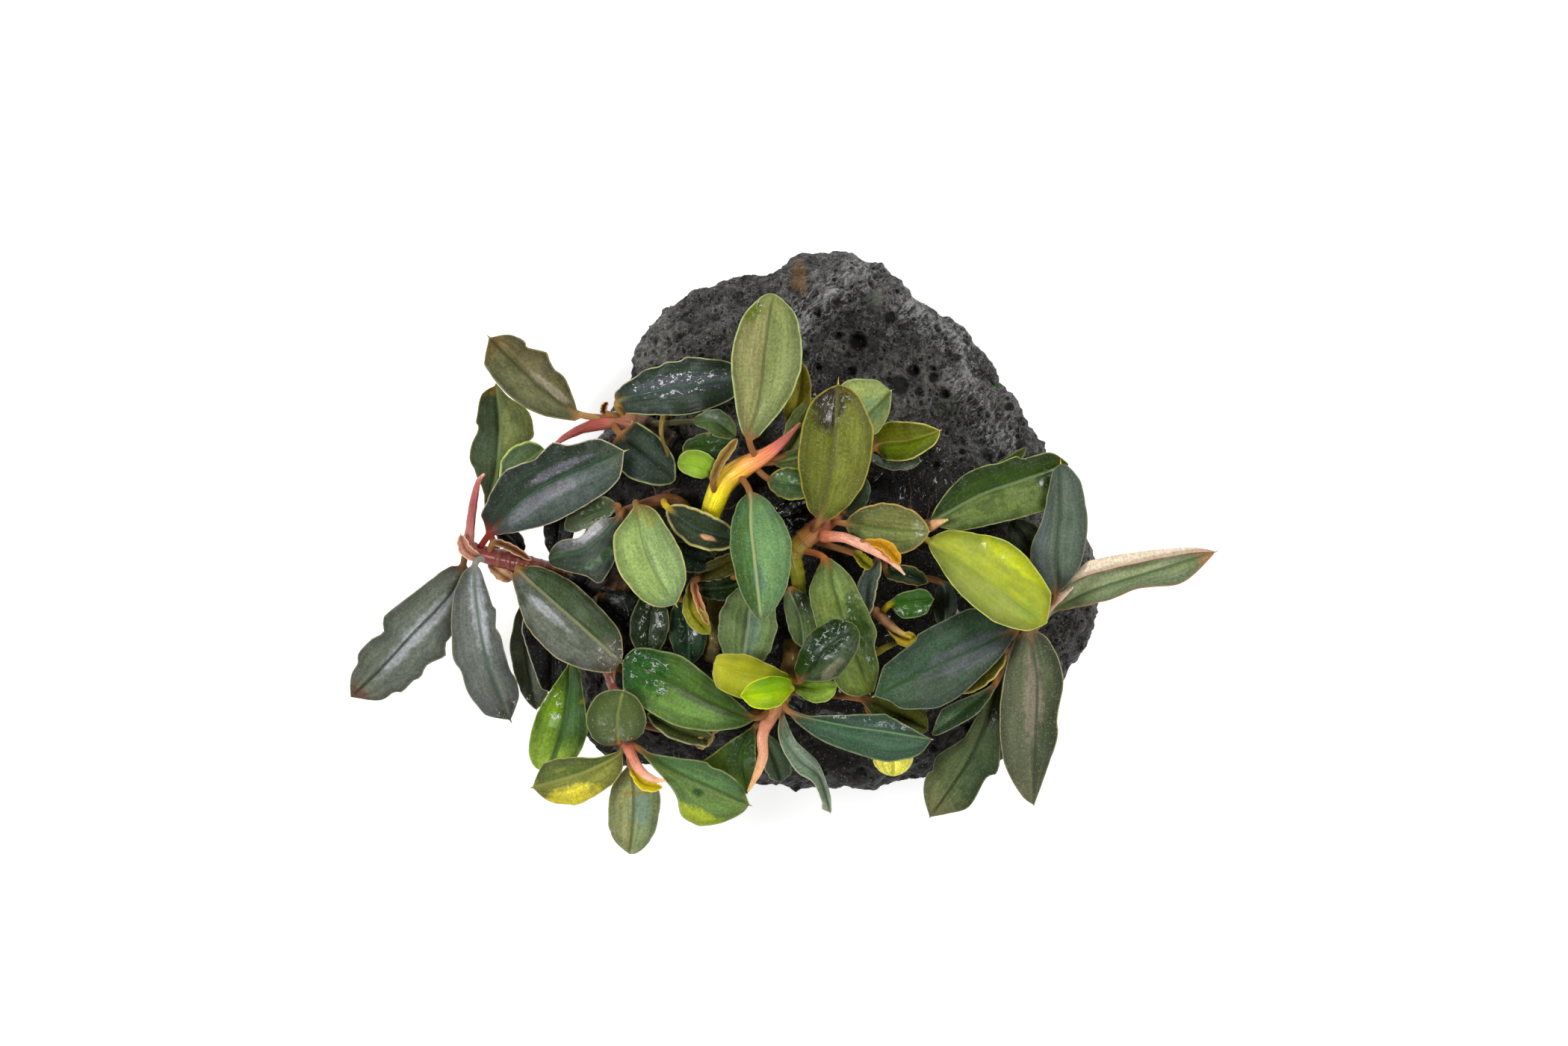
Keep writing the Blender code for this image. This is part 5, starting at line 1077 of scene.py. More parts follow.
def leaf_surface(name, leaf, size):
    """The points of a leaf, ring by ring, with the values that its material reads."""
    luck = random.Random(name)
    look = leaf.look
    rows, reach = leaf_stations(leaf, look.mucro)
    middle = np.array([row[0] for row in rows])
    side = np.array([row[1] for row in rows])
    up = np.array([row[2] for row in rows])
    s = np.array([row[3] for row in rows])
    top = [*reversed(HALF_ACROSS)] + [-share for share in HALF_ACROSS[1:]]
    u = np.array(top + top[1:-1][::-1])[None, :]
    below = np.array([False] * len(top) + [True] * (len(top) - 2))[None, :]
    t = np.abs(u)
    leftward = u > 0.0

    share = blade_shares(leaf, s, look.point)
    stalk = size.stalk_radius / MM * np.clip(1.0 - np.clip(s, 0.0, 1.0) / STALK_FADE, 0.0, 1.0)
    spike = np.clip(2.0 - s, 0.0, 1.0)
    least = np.maximum(TIP_HALF_WIDTH * np.where(s > 1.0, spike, 1.0), stalk)
    halves, lifts = half_widths(leaf, size, (middle, side, s), share, least, luck)
    half = np.where(leftward, halves[0][:, None], halves[1][:, None])
    lift = np.where(leftward, lifts[0][:, None], lifts[1][:, None])

    offset = u * half
    edge_rise = np.where(leftward, leaf.left_rise, leaf.right_rise)
    rise = share[:, None] * (edge_rise * t**RISE_BEND + CROWN * np.sin(np.pi * t))
    lean, upright = 0.0, 1.0
    if leaf.fold:
        offset, rise, lean, upright = fold_left_half(leaf, s, t, leftward, share, half, offset, rise)
    rise = rise + lift * t**WAVE_FALL
    along = np.clip(s, 0.0, 1.0) * reach
    seed = luck.uniform(0.0, 50.0)
    swell = np.array([
        [noise.noise((x * SWELL_SCALE, y * SWELL_SCALE, seed)) for x in row]
        for row, y in zip(offset, along)
    ])
    rise = rise + swell * SWELL_HEIGHT * np.clip(share * SWELL_RISE, 0.0, 1.0)[:, None]
    skin = leaf_skin(s, t, below, offset, stalk, spike, size)
    across_part = side[:, None, :] * (offset + skin * lean)[:, :, None]
    points = middle[:, None, :] + across_part + up[:, None, :] * (rise + skin * upright)[:, :, None]

    slope = np.gradient(half, axis=0) / np.maximum(np.gradient(along), LEAST_LENGTH)[:, None]
    margin = (1.0 - t) * half / np.sqrt(1.0 + slope**2)
    margin = np.where((s < 0.0)[:, None], FAR_FROM_MARGIN, margin)
    shape = points.shape[:2]
    leaf_values = [offset, np.broadcast_to(along[:, None], shape), margin]
    place_values = [np.broadcast_to(row, shape) for row in (s[:, None], below, u)]
    return points * MM, np.stack(leaf_values, axis=-1), np.stack(place_values, axis=-1)


def add_values(mesh, name, values):
    """Stores three numbers at every point of a mesh, for its material to read."""
    layer = mesh.attributes.new(name, "FLOAT_VECTOR", "POINT")
    layer.data.foreach_set("vector", np.ascontiguousarray(values, dtype=np.float32).ravel())


def skin_leaf(name, points, leaf_values, place_values):
    """Joins the rings into one closed mesh with its faces outwards."""
    rows, count = points.shape[:2]
    mesh = bpy.data.meshes.new(name)
    faces = [
        (row * count + i, row * count + (i + 1) % count,
         (row + 1) * count + (i + 1) % count, (row + 1) * count + i)
        for row in range(rows - 1)
        for i in range(count)
    ]
    faces.append(tuple(range(count))[::-1])
    faces.append(tuple(range((rows - 1) * count, rows * count)))
    mesh.from_pydata(points.reshape(-1, 3).tolist(), [], faces)
    add_values(mesh, "Leaf", leaf_values.reshape(-1, 3))
    add_values(mesh, "Place", place_values.reshape(-1, 3))
    mesh_data = bmesh.new()
    mesh_data.from_mesh(mesh)
    bmesh.ops.recalc_face_normals(mesh_data, faces=mesh_data.faces)
    mesh_data.to_mesh(mesh)
    mesh_data.free()
    mesh.shade_smooth()
    return mesh


class Wires:
    """Adds nodes to a tree and joins them, so that a tree is written like a formula."""

    def __init__(self, tree):
        self.tree = tree

    def put(self, socket, value):
        """Joins an input to another node's output, or gives it a plain value."""
        if isinstance(value, bpy.types.NodeSocket):
            self.tree.links.new(value, socket)
        elif value is not None:
            socket.default_value = value

    def node(self, kind, values=(), **settings):
        """A node with its settings, and its inputs given in order or by name."""
        made = self.tree.nodes.new(kind)
        for name, value in settings.items():
            setattr(made, name, value)
        pairs = values.items() if isinstance(values, dict) else enumerate(values)
        for key, value in pairs:
            self.put(made.inputs[key], value)
        return made

    def made(self, kind, values=(), **settings):
        """The first output of a new node."""
        return self.node(kind, values, **settings).outputs[0]

    def math(self, operation, *values):
        """The values joined by one operation after another."""
        made = values[0]
        for value in values[1:]:
            made = self.made("ShaderNodeMath", [made, value], operation=operation)
        return made

    def times(self, *values):
        return self.math("MULTIPLY", *values)

    def plus(self, *values):
        return self.math("ADD", *values)

    def distance(self, value):
        """A value without its sign."""
        return self.made("ShaderNodeMath", [value], operation="ABSOLUTE")

    def vector(self, operation, *values):
        made = self.node("ShaderNodeVectorMath", values, operation=operation)
        return made.outputs["Value" if operation == "LENGTH" else "Vector"]

    def scaled(self, vector, factor):
        made = self.node("ShaderNodeVectorMath", [vector], operation="SCALE")
        self.put(made.inputs["Scale"], factor)
        return made.outputs["Vector"]

    def split(self, vector):
        return self.node("ShaderNodeSeparateXYZ", [vector]).outputs

    def join(self, x, y, z):
        return self.made("ShaderNodeCombineXYZ", [x, y, z])

    def rise(self, value, low, high, start=0.0, end=1.0):
        """A smooth rise from start to end as the value goes from low to high."""
        values = [value, low, high, start, end]
        return self.made("ShaderNodeMapRange", values, interpolation_type="SMOOTHSTEP")

    def mix(self, factor, first, second, blend="MIX"):
        """The first colour where the factor is 0 and the second where it is 1."""
        made = self.node("ShaderNodeMix", data_type="RGBA", blend_type=blend)
        self.put(made.inputs[0], factor)
        self.put(made.inputs[6], first)
        self.put(made.inputs[7], second)
        return made.outputs[2]

    def shaded(self, colour, shade):
        """A colour made lighter or darker by a number."""
        return self.mix(1.0, colour, self.join(shade, shade, shade), "MULTIPLY")

    def noise(self, vector, scale, detail=2.0, roughness=0.5):
        values = {"Vector": vector, "Scale": scale, "Detail": detail, "Roughness": roughness}
        return self.made("ShaderNodeTexNoise", values)

    def waver(self, vector, scale, detail=2.0, roughness=0.5):
        """Noise about zero."""
        return self.plus(self.noise(vector, scale, detail, roughness), -0.5)

    def cells(self, vector, scale):
        """Distance to the nearest of many scattered points, and a chance value for each of them."""
        made = self.node("ShaderNodeTexVoronoi", {"Vector": vector, "Scale": scale})
        return made.outputs["Distance"], self.split(made.outputs["Color"])[0]

    def attribute(self, name, output="Fac"):
        """What a mesh's points carry, for its material."""
        return self.node("ShaderNodeAttribute", attribute_name=name).outputs[output]

    def grain(self, group, vector, scale, contrast):
        """The shared fine grain: its value and its height."""
        values = {"Vector": vector, "Scale": scale, "Contrast": contrast}
        return self.node("ShaderNodeGroup", values, node_tree=group).outputs

    def object_place(self):
        """The place on the object in millimetres."""
        return self.scaled(self.node("ShaderNodeTexCoord").outputs["Object"], 1.0 / MM)

    def read(self, name):
        """A number that a shape's points carry."""
        return self.made("GeometryNodeInputNamedAttribute", {"Name": name}, data_type="FLOAT")

    def store(self, shape, name, value):
        """A shape whose points carry a number, which its material reads later."""
        values = {"Geometry": shape, "Name": name, "Value": value}
        return self.made("GeometryNodeStoreNamedAttribute", values, data_type="FLOAT", domain="POINT")

    def push_out(self, shape, distance):
        """A shape with its points moved outwards."""
        out = self.scaled(self.made("GeometryNodeInputNormal"), distance)
        return self.made("GeometryNodeSetPosition", {"Geometry": shape, "Offset": out})

    def finish_shape(self, shape, material):
        """A shape made real, with smooth faces and its material."""
        shape = self.made("GeometryNodeSetShadeSmooth", {"Geometry": shape})
        shape = self.made("GeometryNodeRealizeInstances", {"Geometry": shape})
        return self.made("GeometryNodeSetMaterial", {"Geometry": shape, "Material": material})


def new_group(name, kind, inputs, outputs):
    """A node group with named sockets, its wires, and the sockets inside it."""
    tree = bpy.data.node_groups.new(name, kind)
    for label, (socket_type, default) in inputs.items():
        socket = tree.interface.new_socket(name=label, in_out="INPUT", socket_type=socket_type)
        if default is not None:
            socket.default_value = default
    for label, socket_type in outputs.items():
        tree.interface.new_socket(name=label, in_out="OUTPUT", socket_type=socket_type)
    wires = Wires(tree)
    entry = wires.node("NodeGroupInput").outputs
    leave = wires.node("NodeGroupOutput").inputs
    return tree, wires, entry, leave


COLOUR = "NodeSocketColor"
NUMBER = "NodeSocketFloat"
VECTOR = "NodeSocketVector"
WHOLE = "NodeSocketInt"
SHAPE = "NodeSocketGeometry"
FINISH = "NodeSocketMaterial"


def fine_grain_group():
    """Grain for living and stony skins alike: light and dark flecks, and a height to go with them."""
    inputs = {"Vector": (VECTOR, None), "Scale": (NUMBER, 1.0), "Contrast": (NUMBER, 0.5)}
    outputs = {"Value": NUMBER, "Height": NUMBER}
    tree, wires, entry, leave = new_group("Fine grain", "ShaderNodeTree", inputs, outputs)
    coarse = wires.noise(entry["Vector"], entry["Scale"], 3.0, 0.6)
    fine = wires.noise(entry["Vector"], wires.times(entry["Scale"], 4.3), 2.0, 0.6)
    both = wires.plus(wires.times(coarse, 0.6), wires.times(fine, 0.4), -0.5)
    wires.put(leave["Value"], wires.plus(wires.times(both, entry["Contrast"], 2.0), 1.0))
    wires.put(leave["Height"], both)
    return tree


LEAF_COLOURS = (
    "Left", "Right", "Tip", "Mottle", "Patch", "Wet", "Rim", "Rib", "Under", "Stalk", "Bristle",
)
LEAF_NUMBERS = (
    "Tip From", "Mottle Amount", "Patch Amount", "Wet Amount", "Fleck", "Rim Width", "Rib Width",
    "Speckle", "Veins", "Film", "Roughness", "Seed",
)
LEAF_VECTORS = ("Patch At", "Patch Reach", "Wet At", "Wet Reach")


def leaf_surface_group(grain):
    """The skin of a leaf, read from how far each point is from the midrib, the foot and the margin."""
    inputs = {label: (COLOUR, None) for label in LEAF_COLOURS}
    inputs |= {label: (NUMBER, None) for label in LEAF_NUMBERS}
    inputs |= {label: (VECTOR, None) for label in LEAF_VECTORS}
    outputs = {"Colour": COLOUR, "Roughness": NUMBER, "Water": NUMBER, "Height": NUMBER}
    tree, wires, entry, leave = new_group("Leaf surface", "ShaderNodeTree", inputs, outputs)
    across, along, margin = wires.split(wires.attribute("Leaf", "Vector"))
    share, under, share_across = wires.split(wires.attribute("Place", "Vector"))

    def spot(wide, long, shift=0.0):
        """A place for a pattern, squeezed across and along the leaf."""
        seed = wires.plus(entry["Seed"], shift)
        return wires.join(wires.times(across, wide), wires.times(along, long), seed)

    ragged = wires.waver(spot(0.7, 0.7), 1.0, 4.0, 0.6)

    def zone(at, reach):
        """1 inside an oval place on the blade, fading out at its ragged edge."""
        away = wires.vector("SUBTRACT", wires.join(share, across, 0.0), entry[at])
        away = wires.vector("LENGTH", wires.vector("DIVIDE", away, entry[reach]))
        return wires.rise(wires.plus(away, wires.times(ragged, 1.3)), 1.2, 0.5)

    colour = wires.mix(wires.rise(across, -0.5, 0.5), entry["Right"], entry["Left"])
    blotch = wires.rise(wires.noise(spot(0.42, 0.3, 7.0), 1.0, 4.0, 0.6), 0.44, 0.6)
    colour = wires.mix(wires.times(blotch, entry["Mottle Amount"]), colour, entry["Mottle"])
    towards_tip = wires.rise(wires.plus(share, wires.times(ragged, 0.25)), entry["Tip From"], 1.0)
    colour = wires.mix(towards_tip, colour, entry["Tip"])
    patch = wires.times(zone("Patch At", "Patch Reach"), entry["Patch Amount"])
    colour = wires.mix(patch, colour, entry["Patch"])
    wet = wires.times(zone("Wet At", "Wet Reach"), entry["Wet Amount"])
    colour = wires.mix(wires.times(wet, 0.85), colour, entry["Wet"])

    vein_spot = wires.join(wires.times(share_across, 7.0), wires.times(along, 0.12), entry["Seed"])
    veins = wires.noise(vein_spot, 1.0, 3.0, 0.55)
    streaks = wires.plus(wires.times(wires.rise(veins, 0.32, 0.68, -0.18, 0.16), entry["Veins"]), 1.0)
    grained = wires.grain(grain, spot(1.0, 1.0, 11.0), 2.4, wires.times(entry["Veins"], 1.15))
    # Painted shade and sheen: the blade is painted darker towards its margin and towards its base, and a
    # little lighter in the middle of each half
    inner = wires.rise(margin, 0.2, 2.6, 0.66, 1.1)
    shade = wires.times(streaks, grained["Value"], inner, wires.rise(share, -0.02, 0.22, 0.76, 1.0))
    colour = wires.shaded(colour, shade)

    off_rib = wires.distance(wires.plus(across, wires.times(ragged, 0.16)))
    rib = wires.rise(off_rib, wires.times(entry["Rib Width"], 1.5), wires.times(entry["Rib Width"], 0.4))
    rib = wires.times(rib, wires.rise(share, 1.0, 0.9), 0.85)
    colour = wires.mix(rib, colour, entry["Rib"])
    rim = wires.rise(margin, wires.times(entry["Rim Width"], 1.5), wires.times(entry["Rim Width"], 0.3))
    rim = wires.times(rim, wires.rise(share, -0.02, 0.08), wires.rise(ragged, -0.22, 0.05, 0.3, 0.75))
    colour = wires.mix(rim, colour, entry["Rim"])
    below = wires.shaded(entry["Under"], grained["Value"])
    colour = wires.mix(wires.times(under, wires.rise(margin, 0.1, 0.5, 0.3, 0.85)), colour, below)
    stalk = wires.rise(share, 0.1, -0.06)
    down_rib = wires.times(wires.rise(share, 0.2, 0.0), wires.rise(off_rib, 0.7, 0.25), 0.5)
    colour = wires.mix(wires.math("MAXIMUM", stalk, down_rib), colour, entry["Stalk"])
    colour = wires.mix(wires.rise(share, 1.0, 1.1), colour, entry["Bristle"])

    away, chance = wires.cells(spot(1.0, 1.0), 2.9)
    dots = wires.times(wires.rise(away, 0.34, 0.1), wires.rise(chance, 0.3, 0.9), entry["Speckle"])
    colour = wires.mix(wires.times(dots, 0.4), colour, DOT_COLOUR)
    # Painted highlights: white glints painted into the colour, in rows beside the midrib, where the leaf is
    # wet
    wander = wires.waver(spot(1.15, 0.8, 5.0), 1.0, 3.0, 0.65)
    painted_glints = wires.rise(wires.distance(wander), 0.035, 0.014)
    broken = wires.rise(wires.noise(spot(1.1, 0.9, 3.0), 1.0), 0.5, 0.56)
    off_row = wires.distance(wires.plus(wires.distance(across), wires.times(ragged, 2.4), -1.5))
    painted_highlight_mask = wires.times(painted_glints, broken, wires.rise(off_row, 1.3, 0.7), wires.rise(wet, 0.25, 0.6))
    painted_highlight_mask = wires.times(painted_highlight_mask, entry["Fleck"])
    colour = wires.mix(painted_highlight_mask, colour, PAINTED_HIGHLIGHT_COLOUR)

    water = wires.times(wet, wires.rise(wires.noise(spot(0.5, 0.5, 9.0), 1.0), 0.4, 0.62))
    rough = wires.plus(entry["Roughness"], wires.times(ragged, 0.2), wires.times(water, -0.26))
    beads, which = wires.cells(spot(1.0, 1.0, 2.0), 1.1)
    beads = wires.times(wires.rise(beads, 0.34, 0.0), wires.rise(which, 0.6, 0.66), wet)
    height = wires.plus(
        wires.times(veins, entry["Veins"], 0.22), wires.times(grained["Height"], 0.1),
        wires.times(beads, 0.16), wires.times(dots, 0.02), wires.times(painted_highlight_mask, 0.15),
    )
    wires.put(leave["Colour"], colour)
    wires.put(leave["Roughness"], rough)
    wires.put(leave["Water"], wires.times(water, entry["Film"]))
    wires.put(leave["Height"], height)
    return tree


def new_material(name):
    """A material, its wires and its shader."""
    material = bpy.data.materials.new(name)
    material.use_nodes = True
    return material, Wires(material.node_tree), material.node_tree.nodes["Principled BSDF"]


def set_inputs(shader, values):
    """Sets plain values on a shader's own sockets, by their names."""
    for label, value in values.items():
        shader.inputs[label].default_value = value


def bump(wires, shader, height, strength):
    """Raises a height given in millimetres on the shader's surface."""
    made = wires.node("ShaderNodeBump", {"Strength": strength, "Distance": MM, "Height": height})
    wires.put(shader.inputs["Normal"], made.outputs[0])


def leaf_material(name, look, group):
    """The finish of one leaf: its own colours and marks in the shared leaf surface."""
    material, wires, shader = new_material(name)
    luck = random.Random(name + " finish")
    left = look.left
    right = look.right or left
    shown = (
        left, right, look.tip or left, look.mottle or mean_colour(left, left, MOTTLE_DARKNESS),
        look.patch.colour if look.patch else left, look.wet.colour if look.wet else left,
        look.rim or part_way(mean_colour(left, right), PALE_RIM, RIM_SHARE),
        look.rib or mean_colour(left, right, RIB_DARKNESS), look.under, look.stalk, look.mucro_colour,
    )
    numbers = (
        look.tip_from if look.tip else NO_TIP, look.mottle_amount,
        look.patch.amount if look.patch else 0.0, 1.0 if look.wet else 0.0, look.fleck, look.rim_width,
        look.rib_width, look.speckle, look.veins, look.film, look.roughness, luck.uniform(0.0, 90.0),
    )
    values = {label: paint(colour) for label, colour in zip(LEAF_COLOURS, shown)}
    values |= zip(LEAF_NUMBERS, numbers)
    for label, mark in (("Patch", look.patch), ("Wet", look.wet)):
        if mark:
            values[label + " At"] = (mark.along, mark.across, 0.0)
            values[label + " Reach"] = (mark.length, mark.width, 1.0)
    skin = wires.node("ShaderNodeGroup", values, node_tree=group).outputs
    wires.put(shader.inputs["Base Color"], skin["Colour"])
    wires.put(shader.inputs["Roughness"], skin["Roughness"])
    wires.put(shader.inputs["Coat Weight"], skin["Water"])
    set_inputs(shader, {"Coat Roughness": 0.06, "Specular IOR Level": 0.16})
    bump(wires, shader, skin["Height"], 0.7)
    return material


def stem_material(name, colours, grain):
    """Fleshy or fibrous stem, its colour changing from the old end to the young one."""
    material, wires, shader = new_material(name)
    along = wires.attribute("Along")
    grained = wires.grain(grain, wires.object_place(), 0.8, 0.7)
    drift = wires.plus(along, wires.times(grained["Height"], 0.12))
    ramp = wires.node("ShaderNodeValToRGB", [drift])
    ramp.color_ramp.elements.remove(ramp.color_ramp.elements[0])
    for index, (share, colour) in enumerate(colours):
        stops = ramp.color_ramp.elements
        stop = stops[0] if index == 0 else stops.new(share)
        stop.position = share
        stop.color = paint(colour)
    fibre_spot = wires.join(wires.times(along, 9.0), wires.times(wires.attribute("Around"), 26.0), 0.0)
    fibres = wires.noise(fibre_spot, 1.0, 3.0, 0.6)
    shade = wires.times(wires.rise(fibres, 0.3, 0.7, 0.72, 1.24), grained["Value"])
    colour = wires.shaded(ramp.outputs[0], shade)
    colour = wires.mix(wires.times(wires.attribute("Ring"), 0.3), colour, paint(SCAR_COLOUR))
    wires.put(shader.inputs["Base Color"], colour)
    wires.put(shader.inputs["Roughness"], wires.rise(grained["Height"], -0.2, 0.2, 0.3, 0.52))
    set_inputs(shader, {"Coat Weight": 0.25, "Coat Roughness": 0.1, "Specular IOR Level": 0.4})
    height = wires.plus(wires.times(fibres, 0.22), wires.times(grained["Height"], 0.16))
    bump(wires, shader, height, 0.8)
    return material


def stem_tree():
    """Geometry nodes that turn a line of points into a tapering stem with rings where old leaves
    grew and a furrow along its rolled young leaf."""
    inputs = {
        "Geometry": (SHAPE, None), "Sides": (WHOLE, 20), "Step": (NUMBER, 0.3 * MM),
        "Ring Spacing": (NUMBER, 1.6 * MM), "Ring Height": (NUMBER, 0.12), "Ring End": (NUMBER, 0.7),
        "Furrow": (NUMBER, 0.2), "Lump": (NUMBER, 0.12 * MM), "Lump Scale": (NUMBER, 500.0),
        "Material": (FINISH, None),
    }
    tree, wires, entry, leave = new_group("Ringed stem", "GeometryNodeTree", inputs, {"Geometry": SHAPE})
    line = wires.made("GeometryNodeMeshToCurve", [entry["Geometry"]])
    line = wires.made("GeometryNodeCurveSplineType", {"Curve": line}, spline_type="CATMULL_ROM")
    spacing = {"Curve": line, "Length": entry["Step"]}
    line = wires.made("GeometryNodeResampleCurve", spacing, mode="LENGTH")
    line = wires.made("GeometryNodeSetCurveNormal", {"Curve": line}, mode="Z_UP")
    where = wires.node("GeometryNodeSplineParameter").outputs
    uneven = wires.noise(wires.made("GeometryNodeInputPosition"), 260.0, 1.0)
    turns = wires.plus(wires.math("DIVIDE", where["Length"], entry["Ring Spacing"]), wires.times(uneven, 0.9))
    pulse = wires.math("PINGPONG", turns, 0.5)
    grown = wires.math("LESS_THAN", where["Factor"], entry["Ring End"])
    ring = wires.times(wires.rise(pulse, 0.2, 0.0), grown)
    radius = wires.times(wires.read("thick"), wires.plus(wires.times(ring, entry["Ring Height"]), 1.0))
    line = wires.store(line, "Along", where["Factor"])
    line = wires.store(wires.store(line, "Ring", ring), "Girth", radius)

    round_values = {"Resolution": entry["Sides"], "Radius": MM}
    circle = wires.made("GeometryNodeCurvePrimitiveCircle", round_values, mode="RADIUS")
    round_share = wires.node("GeometryNodeSplineParameter").outputs["Factor"]
    circle = wires.store(circle, "Around", wires.times(wires.math("PINGPONG", round_share, 0.5), 2.0))
    parts = {"Curve": line, "Profile Curve": circle, "Scale": wires.read("Girth"), "Fill Caps": True}
    skin = wires.made("GeometryNodeCurveToMesh", parts)
    young = wires.rise(wires.read("Along"), entry["Ring End"], wires.plus(entry["Ring End"], 0.12))
    furrow = wires.times(wires.rise(wires.read("Around"), 0.28, 0.0), young, entry["Furrow"], -MM)
    place = wires.made("GeometryNodeInputPosition")
    lump = wires.times(wires.waver(place, entry["Lump Scale"], 3.0), entry["Lump"], 2.0)
    skin = wires.push_out(skin, wires.plus(lump, furrow))
    wires.put(leave["Geometry"], wires.finish_shape(skin, entry["Material"]))
    return tree


def lava_tree():
    """Geometry nodes that give a smooth block the lumps, grit and gas pits of lava, and leave its
    flat underside alone."""
    inputs = {
        "Geometry": (SHAPE, None), "Lump": (NUMBER, 1.2 * MM), "Scallop": (NUMBER, 3.0 * MM),
        "Drift": (NUMBER, 12.0 * MM), "Grit": (NUMBER, 0.5 * MM),
        "Pit Depth": (NUMBER, 1.1 * MM), "Pit Share": (NUMBER, 0.5), "Floor": (NUMBER, 1.5 * MM),
        "Material": (FINISH, None),
    }
    tree, wires, entry, leave = new_group("Lava skin", "GeometryNodeTree", inputs, {"Geometry": SHAPE})
    place = wires.made("GeometryNodeInputPosition")
    calm = wires.rise(wires.split(place)[2], 0.2 * MM, wires.times(entry["Floor"], 2.0))
    moved = [wires.vector("ADD", place, shift) for shift in ((0, 0, 0), (0.3, 0, 0), (0, 0.3, 0))]
    drift = wires.join(*(wires.times(wires.waver(spot, 160.0, 3.0), entry["Drift"]) for spot in moved))
    bent = wires.vector("ADD", place, drift)
    lumps = wires.waver(place, 110.0, 4.0, 0.55)
    bowl = wires.plus(wires.cells(bent, 150.0)[0], -0.42)
    dent = wires.plus(wires.cells(bent, 420.0)[0], -0.42)
    grit = wires.waver(place, 900.0, 4.0, 0.65)

    def pits(scale, share, radius, depth):
        """Round pits with a raised lip at a share of scattered places: depth, and 1 inside."""
        away, chance = wires.cells(place, scale)
        open_ = wires.math("LESS_THAN", chance, share)
        size = wires.plus(wires.times(chance, 0.35), radius)
        away = wires.math("DIVIDE", away, size)
        inside = wires.times(wires.rise(away, 1.0, 0.55), open_)
        sunk = wires.times(inside, -1.0)
        lip = wires.plus(wires.times(wires.rise(away, 1.35, 1.05), open_), sunk)
        return wires.times(wires.plus(sunk, wires.times(lip, 0.22)), depth), inside

    large, large_mask = pits(250.0, entry["Pit Share"], 0.16, entry["Pit Depth"])
    small, small_mask = pits(560.0, 0.42, 0.2, wires.times(entry["Pit Depth"], 0.5))
    scallops = wires.plus(wires.times(bowl, entry["Scallop"]), wires.times(dent, entry["Scallop"], 0.28))
    offset = wires.plus(
        wires.times(lumps, entry["Lump"], 2.0), scallops, wires.times(grit, entry["Grit"]), large, small
    )
    skin = wires.push_out(entry["Geometry"], wires.times(offset, calm))
    mask = wires.times(wires.math("MAXIMUM", large_mask, wires.times(small_mask, 0.7)), calm)
    raised = wires.plus(bowl, wires.times(dent, 1.1), wires.times(grit, 1.8), 0.45)
    skin = wires.store(wires.store(skin, "Pit", mask), "Raised", raised)
    wires.put(leave["Geometry"], wires.finish_shape(skin, entry["Material"]))
    return tree


# Gas pits that stand out on the bare end of the rock: middle, radius, depth
ROCK_PITS = [
    ((3.5, 30.3), 1.9, 1.6), ((12.8, 25.6), 1.3, 1.3), ((16.3, 24.4), 1.1, 1.0), ((10.6, 23.1), 2.4, 1.0),
    ((8.8, 24.0), 0.8, 0.7), ((13.8, 21.9), 1.0, 0.9), ((18.1, 21.6), 1.1, 1.0), ((-5.4, 28.1), 1.2, 1.1),
    ((9.0, 34.4), 1.4, 1.1), ((0.3, 31.3), 0.9, 0.8), ((2.5, 25.4), 1.0, 0.9),
    ((10.4, 14.6), 1.0, 0.9), ((13.4, 12.2), 1.3, 1.1), ((16.6, 9.6), 0.9, 0.8), ((8.6, 11.4), 0.8, 0.8),
]
# Sharp worn edges that catch the light, raised and given a painted highlight: points along each, and its
# width
ROCK_CRESTS = [
    ([(5.0, 43.1), (0.6, 39.4), (-3.8, 36.2)], 0.8),
    ([(12.5, 36.9), (15.0, 35.0), (20.0, 31.2), (21.2, 27.5), (21.6, 23.0)], 0.9),
    ([(-6.0, 34.0), (-8.6, 30.2), (-10.2, 24.6)], 0.7),
    ([(24.6, 19.6), (27.6, 15.0), (29.6, 9.0)], 0.8),
]
# Stains on the rock: middle, reach, colour, amount
ROCK_STAINS = [
    ((-6.2, 41.4), (1.6, 3.2), "86663e", 0.9),
    ((6.8, 37.5), (2.0, 1.2), "7a8070", 0.7),
    ((18.1, 20.0), (1.2, 1.8), "78806e", 0.7),
    ((27.1, 23.1), (0.5, 0.5), "467832", 0.9),
    ((-37.0, -28.0), (6.0, 14.0), "5c4e3e", 0.5),
    ((-12.0, -41.0), (12.0, 4.0), "504638", 0.4),
    ((30.0, -26.0), (6.0, 8.0), "4a4236", 0.4),
]
# Where the rock is wet, the last and broadest place being painted shade under the leaves: middle and reach
ROCK_DAMP_AND_SHADE = [((12.0, 9.5), (8.5, 6.5)), ((-4.0, 20.0), (4.0, 3.0)), ((2.0, -20.0), (26.0, 16.0))]


